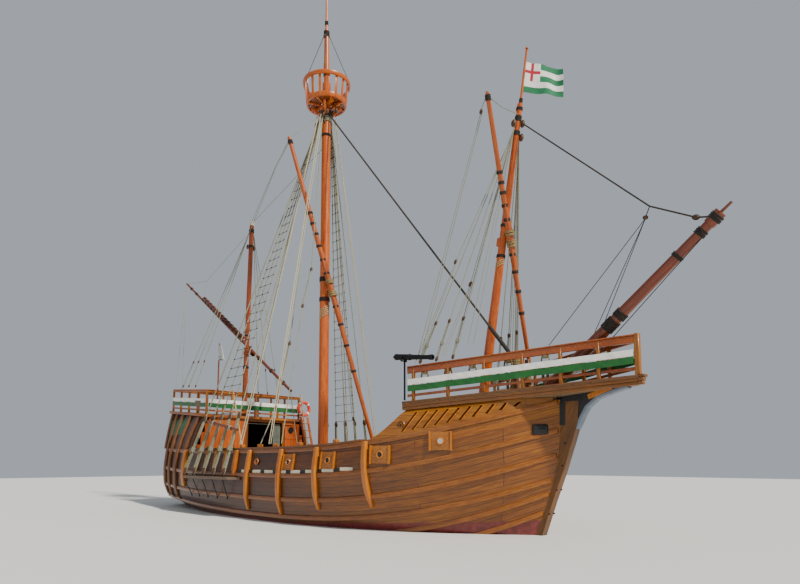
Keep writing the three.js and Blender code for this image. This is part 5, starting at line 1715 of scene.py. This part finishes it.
# whips at the fore mast: head, block, foot, block size
whips = (
    ((8.05, -0.1, 10.9), (6.88, -1.2, 7.27), (5.95, -1.84, 4.5), 0.14),
    ((8.08, -0.12, 10.9), (7.22, -1.0, 6.61), (6.7, -1.62, 4.62), 0.15),
)
# single lines: start, end, radius
leads = (
    ((7.89, -1.3, 11.12), (6.0, -1.82, 4.6), 0.009), ((7.9, -1.26, 11.1), (6.1, -1.8, 4.6), 0.009),
    ((7.9, -1.3, 11.2), (8.17, -1.42, 11.42), 0.01), ((8.13, 0.14, 11.0), (6.85, 1.53, 4.6), 0.009),
    ((8.13, 0.14, 11.0), (6.6, 1.6, 4.58), 0.009), ((8.13, 0.14, 11.0), (6.72, 1.56, 4.58), 0.009),
    ((8.13, 0.14, 11.0), (7.0, 1.47, 4.6), 0.009), ((-5.84, 0, 12.35), (-0.6, -0.16, 13.75), 0.01),
)


def runningLines():
    pale, dark, shells = [], [], []
    for side in (-1, 1):
        back = 0.0 if side < 0 else 1.45
        for top, foot, r in runners:
            ends = [(top[0], side * top[1], top[2]), (foot[0] - back, side * foot[1], foot[2])]
            pale.append(ropeLine(ends, r))
    settle(pale, "paleRunners", "pale")
    for low, high, size, spread, r, masthead, rail in tackles:
        addTackle(shells, dark, low, high, 3, size, spread, r)
        dark.append(ropeLine([high, masthead], 0.016))
        dark.append(ropeLine([low, rail], 0.016))
    for start, end, r in leads:
        dark.append(ropeLine([start, end], r))
    addBlock(shells, dark, (7.9, -1.3, 11.14), (0.1, 0, 1), 0.14)
    for head, middle, foot, size in whips:
        dark.append(ropeLine([head, middle], 0.011))
        dark.append(ropeLine([middle, foot], 0.009))
        beside = [Vector(middle) + Vector((0.05, 0, 0)), Vector(foot) + Vector((0.09, 0.02, 0))]
        dark.append(ropeLine(beside, 0.009))
        addBlock(shells, dark, middle, Vector(head) - Vector(foot), size)
    for place in ((8.13, -0.13, 11.2), (8.24, 0.15, 11.25), (8.2, 0.13, 10.85)):
        addBlock(shells, dark, place, (0, 0, 1), 0.2)
    settle(dark, "runningRopes", "grey")
    settle(shells, "runningBlocks", "block")


# Lines that run from the ship to a yard: body, radius, points
yardLines = {
    "mainLiftLines": ("main_yard", 0.012, [(-0.58, -0.34, 15.05), (-0.68, -1.42, 13.86)]),
    "mainBraceUpper": ("main_yard", 0.01, [(-5.83, -0.1, 12.2), (-1.38, -1.7, 12.81), (-0.7, -1.58, 13.66)]),
    "mainBraceLower": ("main_yard", 0.01, [(-5.86, -0.1, 11.9), (-1.38, -1.7, 12.75), (-0.7, -1.56, 13.6)]),
    "mainYardDownhaul": ("main_yard", 0.014, [(0.95, 2.9, 2.42), (0.45, 1.6, 2.8)]),
    "foreYardLift": ("fore_yard", 0.011, [(8.24, -0.05, 11.45), (8.26, -0.9, 11.3), (8.21, -1.4, 11.4)]),
    "foreYardDownhaul": ("fore_yard", 0.011, [(7.2, 1.36, 4.56), (7.51, 1.3, 4.85)]),
    "peakHalyard": ("mizzen_yard", 0.008, [(-5.85, 0.1, 12.2), (-10.35, 0.22, 10.74), (-12.5, 0.25, 11.06)]),
    "peakBridle": ("mizzen_yard", 0.006, [(-10.35, 0.22, 10.74), (-10.56, 0.25, 9.86)]),
    "peakVangOuter": ("mizzen_yard", 0.008, [(-8.9, -1.78, 4.98), (-12.52, 0.2, 11.02)]),
    "peakVangInner": ("mizzen_yard", 0.008, [(-8.1, -1.86, 4.9), (-12.3, 0.1, 10.4), (-12.5, 0.2, 11.0)]),
    "lateenTackLine": ("mizzen_yard", 0.014, [(-2.5, 0.5, 1.42), (-2.95, 0.25, 4.62)]),
}

channelParts()
mainShrouds()
foreShrouds()
mizzenShrouds()
stays()
runningLines()
for name, (body, r, points) in yardLines.items():
    line = ropeLine(points, r, sag=0.002)
    line.name = line.data.name = name
    line.data.materials.append(finishes["grey"])
    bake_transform(line)
print("rigging set up")


# Cloth: plain weave, matte, with soiled patches; the stripes and the cross are dyed cloth sewn in
def addCloth(name, tone, shade):
    material, tree, shader = newMaterial(name)
    here = objectSpace(tree)
    tint = ramp(tree, noise(tree, here, 5.0, 6.0, 0.6), [(0.35, tone), (0.8, shade)], "soiling")
    dress(tree, shader, tint, noise(tree, here, 420.0, 2.0), 0.3, 0.001)
    shader.inputs["Roughness"].default_value = 0.85
    shader.inputs["Sheen Weight"].default_value = 0.25
    return material


cloths = {
    "white": addCloth("whiteSailcloth", "#f1f0ea", "#d6d4ca"),
    "green": addCloth("greenDyedBunting", "#03611f", "#044a1c"),
    "flagGreen": addCloth("greenFlagBunting", "#0b7a4a", "#08623c"),
    "red": addCloth("redFlagBunting", "#c01830", "#9c1226"),
    "furled": addCloth("furledEnsignCloth", "#dfe1dc", "#a9aeb0"),
    "curtain": addCloth("curtainCanvas", "#6d7466", "#4c5248"),
}


def clothPiece(name, sheet, *dyes):
    modify(sheet, "SOLIDIFY", thickness=0.003, offset=0)
    for dye in dyes:
        sheet.data.materials.append(cloths[dye])
    sheet.name = sheet.data.name = name
    pick(sheet)
    bpy.ops.object.shade_smooth_by_angle(angle=math.radians(70))
    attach(sheet, "ship")


# Banners: a white strip above a green one, laced edge to edge and stretched along the outside of a rail
banner = {"green": 0.165, "white": 0.155, "gap": 0.012, "out": 0.052, "bulge": 0.02, "rows": 5}


def bannerStrips(name, start, end, outward, low, replaced, waves):
    length = (end - start).length
    columns = max(int(length / 0.045), 20)
    strip = banner["rows"]
    rows = [banner["green"] * k / strip for k in range(strip + 1)]
    rows += [banner["green"] + banner["gap"] + banner["white"] * k / strip for k in range(strip + 1)]

    def place(i, j):
        f = i / columns
        swell = abs(math.sin(math.pi * f * waves)) ** 0.7
        ripple = 0.4 * math.sin(f * length * 9.0 + j * 0.3) + 0.3 * math.sin(f * length * 21.0 + j)
        out = banner["out"] + banner["bulge"] * swell * (0.75 + 0.35 * ripple)
        sag = -0.012 * swell * (1.0 if j <= strip else 0.5)
        return start.lerp(end, f) + outward * out + Vector((0, 0, low + rows[j] + sag))

    sheet = shapedGrid(columns, len(rows) - 1, place, lambda i, j: (length * i / columns, rows[j]))
    pick(sheet)
    bpy.ops.object.mode_set(mode="EDIT")
    bpy.ops.mesh.select_mode(type="FACE")
    bpy.ops.mesh.select_all(action="DESELECT")
    bpy.ops.object.mode_set(mode="OBJECT")
    for face in sheet.data.polygons:
        face.material_index = 0 if face.index // columns < strip else 1
        face.select = face.index // columns == strip
    bpy.ops.object.mode_set(mode="EDIT")
    bpy.ops.mesh.delete(type="FACE")
    bpy.ops.object.mode_set(mode="OBJECT")
    clothPiece(name, sheet, "green", "white")
    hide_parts(replaced)
    stitches = []
    for k in range(int(length / 0.1)):
        i = columns * (k + 0.5) * 0.1 / length
        a, b, bite = place(i - 0.3, strip), place(i + 0.3, strip + 1), Vector((0, 0, 0.012))
        stitches.append(ropeLine([a - bite, (a + b) / 2 + outward * 0.004, b + bite], 0.0022, sides=4))
    lacing = settle(stitches, name + "Lacing", "pale")


def banners():
    runs = (
        ("poop", poopCorner["front"], poopCorner["back"], 0.02, 0.3, 4),
        ("castle", castleCorner, castleNose, 0.1, 0.28, 5),
    )
    for side, word in sideWords:
        for name, start, end, short, low, waves in runs:
            if side < 0:
                start, end = mirrored(start), mirrored(end)
            along = (end - start).normalized()
            outward = Vector((along.y, -along.x, 0)).normalized()
            if outward.y * side < 0:
                outward = -outward
            node = ("poop" if name == "poop" else "forecastle") + "_cloth_" + word.lower()
            start, end = start + along * 0.02, end - along * short
            bannerStrips(name + "Banner" + word, start, end, outward, low, node, waves)
    inset = Vector((0, 0.05, 0))
    start, end = poopCorner["front"] - inset, mirrored(poopCorner["front"]) + inset
    bannerStrips("poopBannerFront", start, end, Vector((1, 0, 0)), 0.3, "poop_cloth_front", 4)


# Flag: five stripes, green outermost, with a red cross on a white canton; it streams forward and to port
flagPlan = {
    "foot": Vector((8.4275, 0.01, 12.505)), "reach": Vector((0.76, 0.76, -0.19)),
    "lean": Vector((0.168, 0, 0.985)), "hoist": 0.85, "cut": (1.09, 0.85), "columns": 40, "rows": 20,
}


def flagPiece():
    foot, lean = flagPlan["foot"], flagPlan["lean"]
    columns, rows = flagPlan["columns"], flagPlan["rows"]
    across = Vector((-1, 1, 0)).normalized()

    def place(i, j):
        f, g = i / columns, j / rows - 0.5
        wave = 0.055 * f ** 0.7 * math.sin(9.5 * f + 1.6 * g) + 0.02 * f * math.sin(17 * f - 3.0 * g)
        rise = (lean * (1 - f) + Vector((0, 0, 1)) * f) * flagPlan["hoist"] * g * (1 - 0.05 * f)
        return foot + flagPlan["reach"] * f + rise + across * wave

    sheet = shapedGrid(columns, rows, place, lambda i, j: (i / columns, j / rows))
    for face in sheet.data.polygons:
        i, j = face.index % columns, face.index // columns
        face.material_index = (j // 4) % 2
        if i < 16 and j >= 8:
            face.material_index = 2 if 6 <= i < 9 or 13 <= j < 15 else 1
    clothPiece("stripedFlag", sheet, "flagGreen", "white", "red")
    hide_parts("flag")
    route = [(8.3, 0.02, 11.75), foot - lean * 0.43, foot + lean * 0.43, (8.53, 0.02, 13.28)]
    settle(ropeLine(route, 0.005), "flagHalyard", "pale")


# Cloth in folds: the ensign is a closed ring of pleats round a line, the curtain a row across the door
ensign = {
    "head": Vector((-8.31, 0, 7.2)), "foot": Vector((-8.18, 0, 6.5)), "r": (0.06, 0.15), "pleats": 7,
    "cut": (0.9, 0.7),
}
curtainPlan = {"y": (0.96, 1.33), "z": (3.42, 1.62), "back": 0.1, "rodZ": 3.43, "cut": (0.7, 1.8)}


def furledEnsign():
    turn = (ensign["foot"] - ensign["head"]).to_track_quat("Z", "Y")
    around = ensign["pleats"] * 8

    def place(i, j):
        f, angle = i / 14, 2 * math.pi * j / around
        fold = 1 - 0.5 * (0.5 + 0.5 * math.cos(ensign["pleats"] * angle + 1.4 * f))
        r = lerp(*ensign["r"], f) * fold * (1 + 0.06 * math.sin(7 * f + angle))
        return ensign["head"].lerp(ensign["foot"], f) + turn @ polar(angle, r)

    roll = shapedGrid(14, around, place, lambda i, j: (i / 14, j / around))
    clothPiece("furledEnsign", roll, "furled")
    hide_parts("ensign")


def doorCurtain():
    x = doorway["x"] - curtainPlan["back"]

    def place(i, j):
        f, g = i / 10, j / 48
        fold = 0.03 * math.sin(12 * math.pi * g + 0.4 * math.sin(3 * f)) * (0.55 + 0.45 * f)
        y = lerp(*curtainPlan["y"], g) + 0.02 * f * math.sin(6 * g)
        return Vector((x + fold, y, lerp(*curtainPlan["z"], f)))

    curtain = shapedGrid(10, 48, place, lambda i, j: (i / 10, j / 48))
    clothPiece("doorCurtain", curtain, "curtain")
    rodZ = curtainPlan["rodZ"]
    rod = spar((x, doorway["low"] - 0.06, rodZ), (x, doorway["high"] + 0.08, rodZ), 0.011, sides=12)
    settle(rod, "curtainRod", "brass")


banners()
flagPiece()
furledEnsign()
doorCurtain()
print("cloth hung")


# Deck gear
def stayBitts():
    x, foot = 8.13, castleTop(8.13)
    parts = [timber((x, y, foot), (x, y, foot + 0.98), 0.13, 0.13, 0.018) for y in (-0.28, 0.28)]
    parts.append(timber((x, -0.52, foot + 0.63), (x, 0.52, foot + 0.63), 0.14, 0.14, 0.016))
    settle(parts, "stayBitts", "beam", stands="stay_bitts")
    turns = ropeTurns((x, -0.28, foot + 0.86), (0, 0, 1), 0.1, 5, 0.02)
    turns += ropeTurns((x, 0.28, foot + 0.4), (0, 0, 1), 0.1, 5, 0.014)
    settle(turns, "bittTurns", "tan")


windlass = {"x": 4.7, "z": 1.97, "deck": 1.35, "half": 0.9, "r": 0.15, "cheek": 0.13}


def windlassParts():
    x, z, deck, half, r = (windlass[key] for key in ("x", "z", "deck", "half", "r"))
    cheeks = []
    for y in (-half, half):
        cheeks.append(timber((x, y, deck + 0.001), (x, y, deck + 0.9), 0.32, windlass["cheek"], 0.02))
        cutOut(cheeks[-1], spar((x, y - 0.2, z), (x, y + 0.2, z), 0.054, sides=32))
    sill = timber((x, 0.06 - half, deck + 0.061), (x, half - 0.06, deck + 0.061), 0.18, 0.118, 0.012)
    settle(cheeks + [sill], "windlassCheeks", "beam", stands="windlass_frame")
    reach = half - windlass["cheek"] / 2 - 0.004
    barrel = spar((x, -reach, z), (x, reach, z), r, sides=8)
    modify(barrel, "BEVEL", width=0.008, segments=2)
    journal = spar((x, -half - 0.12, z), (x, half + 0.12, z), 0.05, sides=32)
    settle([barrel, journal], "windlassBarrel", "mast", "windlass", stands="windlass_barrel")
    plates = []
    for y in (-0.62, -0.2, 0.2, 0.62):
        for angle in quarters(8, 22.5):
            face = Vector((math.cos(angle), 0, math.sin(angle)))
            centre = Vector((x, y, z)) + face * r * 0.925
            plates.append(spar(centre, centre + face * 0.006, 0.022, sides=8))
    settle(plates, "handspikeHoles", "iron", "windlass")
    settle(ropeTurns((x, -0.4, z), (0, 1, 0), r + 0.01, 4, 0.022), "windlassTurns", "tan", "windlass")


hatch = {"aft": 1.5, "fore": 3.1, "half": 0.8, "z": 1.5105, "tall": 0.319, "boards": 8, "lidZ": 1.7002}


def hatchParts():
    aft, fore, half, z, tall = (hatch[key] for key in ("aft", "fore", "half", "z", "tall"))
    boards = [timber((x, -half, z), (x, half, z), 0.09, tall, 0.01) for x in (aft + 0.045, fore - 0.045)]
    boards += [timber((aft, y, z), (fore, y, z), 0.09, tall, 0.01) for y in (0.045 - half, half - 0.045)]
    settle(boards, "hatchCoaming", "beam", stands="hatch_coaming")
    lid = []
    wide = (fore - aft + 0.06) / hatch["boards"]
    for k in range(hatch["boards"]):
        x = aft - 0.03 + wide * (k + 0.5)
        ends = (x, -half - 0.03, hatch["lidZ"]), (x, half + 0.03, hatch["lidZ"])
        lid.append(timber(*ends, wide - 0.003, 0.058, 0.006))
    settle(lid, "hatchBoards", "timber", "hatch_cover", stands="hatch_cover")
    irons = [
        timber((aft - 0.01, y, 1.7305), (fore + 0.01, y, 1.7305), 0.05, 0.006, 0.002) for y in (-0.55, 0.55)
    ]
    settle(irons, "hatchStraps", "iron", "hatch_cover")


# ladders: foot (x, z), head (x, z), middle y, width, finish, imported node
ladders = {
    "poopLadder": ((-4.25, 1.36), (-4.965, 3.82), 2.4, 0.36, "door", "poop_ladder"),
    "castleLadder": ((5.15, 1.36), (5.59, 3.56), 0.0, 0.46, "rail", "forecastle_ladder"),
}


def addLadders():
    for name, (foot, head, y, wide, finish, node) in ladders.items():
        parts = []
        for edge in (y - wide / 2, y + wide / 2):
            parts.append(timber((foot[0], edge, foot[1]), (head[0], edge, head[1]), 0.11, 0.045))
        for k in range(1, 8):
            x, z = lerp(foot[0], head[0], k / 8), lerp(foot[1], head[1], k / 8)
            half = wide / 2 - 0.015
            parts.append(timber((x, y - half, z), (x, y + half, z), 0.13, 0.034, 0.006))
        settle(parts, name, finish, stands=node)


# the gun's barrel, turned: radius and distance from its breech
gunProfile = [
    (0.0, -0.1), (0.022, -0.1), (0.03, -0.075), (0.018, -0.05), (0.03, -0.02), (0.085, 0.0), (0.09, 0.03),
    (0.082, 0.05), (0.078, 0.5), (0.088, 0.51), (0.088, 0.55), (0.07, 0.57), (0.058, 1.2), (0.07, 1.27),
    (0.075, 1.36), (0.068, 1.38), (0.034, 1.38), (0.03, 1.2), (0.0, 1.2),
]


def swivelGun():
    start, end = Vector((5.37, -2.0, 4.72)), Vector((6.74, -2.0, 4.55))
    x = 5.672
    parts = [
        putAt(lathed(gunProfile, sides=32), Matrix.Translation(start) @ axisTurn(end - start)),
        spar((x, -1.968, 3.5), (x, -1.968, 4.62), 0.026),
        spar((x, -2.115, 4.68), (x, -1.885, 4.68), 0.02, sides=12),
        timber((x, -2.1, 4.56), (x, -2.1, 4.75), 0.05, 0.022, 0.004),
        timber((x, -1.9, 4.56), (x, -1.9, 4.75), 0.05, 0.022, 0.004),
        timber((x, -2.11, 4.57), (x, -1.89, 4.57), 0.05, 0.03, 0.004),
    ]
    settle(parts, "swivelGun", "iron", stands="swivel_gun")


buoy = {"centre": Vector((-4.997, 2.395, 4.18)), "r": 0.285, "thick": 0.07, "bandR": 0.0725}


def lifebuoyParts():
    centre, r = buoy["centre"], buoy["r"]
    facing = Matrix.Translation(centre) @ Matrix.Rotation(math.pi / 2, 4, "Y")
    ring = ringAt(facing, r, buoy["thick"], 64, 20)
    settle(ring, "lifebuoyRing", "buoyRed", stands="lifebuoy")
    bands = []
    for angle in quarters(4, 45):
        spot = centre + Vector((0, math.cos(angle), math.sin(angle))) * r
        ahead = Vector((0, -math.sin(angle), math.cos(angle))) * 0.03
        bands.append(spar(spot - ahead, spot + ahead, buoy["bandR"], sides=20))
    settle(bands, "lifebuoyBands", "buoyWhite")
    points = []
    for turn in [2 * math.pi * k / 64 for k in range(65)]:
        out, angle = 0.36 + 0.018 * abs(math.sin(2 * turn)), turn + math.pi / 4
        points.append(centre + Vector((0.0, math.cos(angle), math.sin(angle))) * out)
    settle(ropeLine(points, 0.006), "grabLine", "pale")


# A hank of rope: even loops hung over a pin, with turns round its middle
hankPlan = {"wide": 0.2, "loops": 5, "r": 0.011}


def hank(centre, tall, normal):
    wide, loops, r = (hankPlan[key] for key in ("wide", "loops", "r"))
    rise = Vector((0, 0, 1))
    side = rise.cross(normal).normalized()
    made = []
    for k in range(loops):
        grow = 1 + 0.06 * math.sin(2.1 * k + 0.7)
        middle = centre + normal * (k - loops / 2) * r * 1.7
        points = []
        for angle in [2 * math.pi * s / 24 for s in range(25)]:
            across, up = wide / 2 * grow * math.cos(angle), tall / 2 * grow * math.sin(angle)
            points.append(middle + side * across + rise * up)
        made.append(ropeLine(points, r, sides=7))
    return made + ropeTurns(centre + rise * tall * 0.3, rise, wide * 0.36, 4, r)


def ropeHanks():
    tan, pale, pins = [], [], []
    for k, x in enumerate((6.1, 6.75, 7.4, 8.3, 9.2)):
        for side in (-1, 1):
            y, foot = side * (castleRailY(x) - 0.13), castleTop(x)
            facing = Vector((0.36, side, 0)).normalized()
            made = hank(Vector((x, y, foot + 0.62)), 0.5 - 0.03 * (k % 3), facing)
            (pale if (k + side) % 2 else tan).extend(made)
            pins.append(timber((x, y, foot + 0.78), (x, y + side * 0.09, foot + 0.9), 0.03, 0.03, 0.01))
    settle(pins, "hankPins", "post")
    settle(tan, "tanHanks", "tan")
    settle(pale, "paleHanks", "pale")


def looseSpars():
    settle(spar((-4.98, 2.2, 4.79), (-4.16, 2.2, 1.36), 0.03, 0.034), "boatPole", "bead")
    settle(spar((-2.93, -2.3, 4.47), (-1.3, -2.82, 2.4), 0.026, 0.028), "soundingPole", "bead")
    settle(spar((-3.4, -3.0, 3.3), (-1.3, -3.0, 2.92), 0.055, 0.045, 20), "spareSpar", "lateen")
    ties = ropeTurns((-2.93, -3.0, 3.215), (1, 0, -0.18), 0.07, 4, 0.012)
    ties += ropeTurns((-1.75, -3.0, 3.0), (1, 0, -0.18), 0.06, 4, 0.012)
    settle(ties, "spareSparTies", "grey")


stayBitts()
board = timber((-6.2, -2.16, 4.2), (-5.6, -2.22, 4.15), 0.02, 0.24, 0.006)
settle(board, "blankBoard", "channel")
windlassParts()
hatchParts()
addLadders()
staff = spar((-8.42, 0, poopTop(-8.42)), (-8.4, 0, 7.3), 0.038, 0.03, 20)
settle(staff, "ensignStaff", "mizzen", stands="ensign_staff")
swivelGun()
lifebuoyParts()
ropeHanks()
looseSpars()
print("gear stowed")

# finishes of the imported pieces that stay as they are
keptFinishes = {
    "keel": "timber", "stem": "stem", "sternpost": "stem", "beak_knee": "blackPaintAndShade", "rudder": "stem",
    "tiller": "rail", "poop_deck": "deckFlat", "forecastle_deck": "deckFlat",
}
for nodeName, finish in keptFinishes.items():
    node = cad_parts[nodeName]
    node.data.materials.clear()
    node.data.materials.append(finishes[finish])

# the water's place is a pale floor, with soft daylight from the bow and a pale sky round it
studio = {
    "floorSize": 120.0, "floorTone": "#d9d8d4", "sky": "#dbe4ee", "skyPower": 0.55,
    "sunPower": 5.0, "sunSize": 3.0, "sunToward": (0.71, 0.03, 0.70),
    "fillPower": 450.0, "fillSize": 14.0, "fillPlace": (6.0, -24.0, 12.0),
}


def addStudio():
    bpy.ops.mesh.primitive_plane_add(size=studio["floorSize"], location=(0, 0, 0))
    floor = bpy.context.object
    floor.name = "paleFloor"
    material, tree, shader = newMaterial("paleFloorPaint")
    shader.inputs["Base Color"].default_value = linear(studio["floorTone"])
    shader.inputs["Roughness"].default_value = 0.85
    floor.data.materials.append(material)
    toward = Vector(studio["sunToward"]).normalized()
    bpy.ops.object.light_add(type="SUN", location=toward * 40, rotation=axisTurn(toward).to_euler())
    sun = bpy.context.object.data
    sun.energy, sun.angle, sun.color = studio["sunPower"], math.radians(studio["sunSize"]), (1.0, 0.95, 0.87)
    spot = Vector(studio["fillPlace"])
    facing = axisTurn(spot - Vector((0, 0, 5))).to_euler()
    bpy.ops.object.light_add(type="AREA", location=spot, rotation=facing)
    fill = bpy.context.object.data
    fill.energy, fill.size = studio["fillPower"], studio["fillSize"]
    world = bpy.data.worlds.new("paleSky")
    bpy.context.scene.world = world
    world.use_nodes = True
    backdrop = world.node_tree.nodes["Background"]
    backdrop.inputs["Color"].default_value = linear(studio["sky"])
    backdrop.inputs["Strength"].default_value = studio["skyPower"]


addStudio()
print("studio lit")
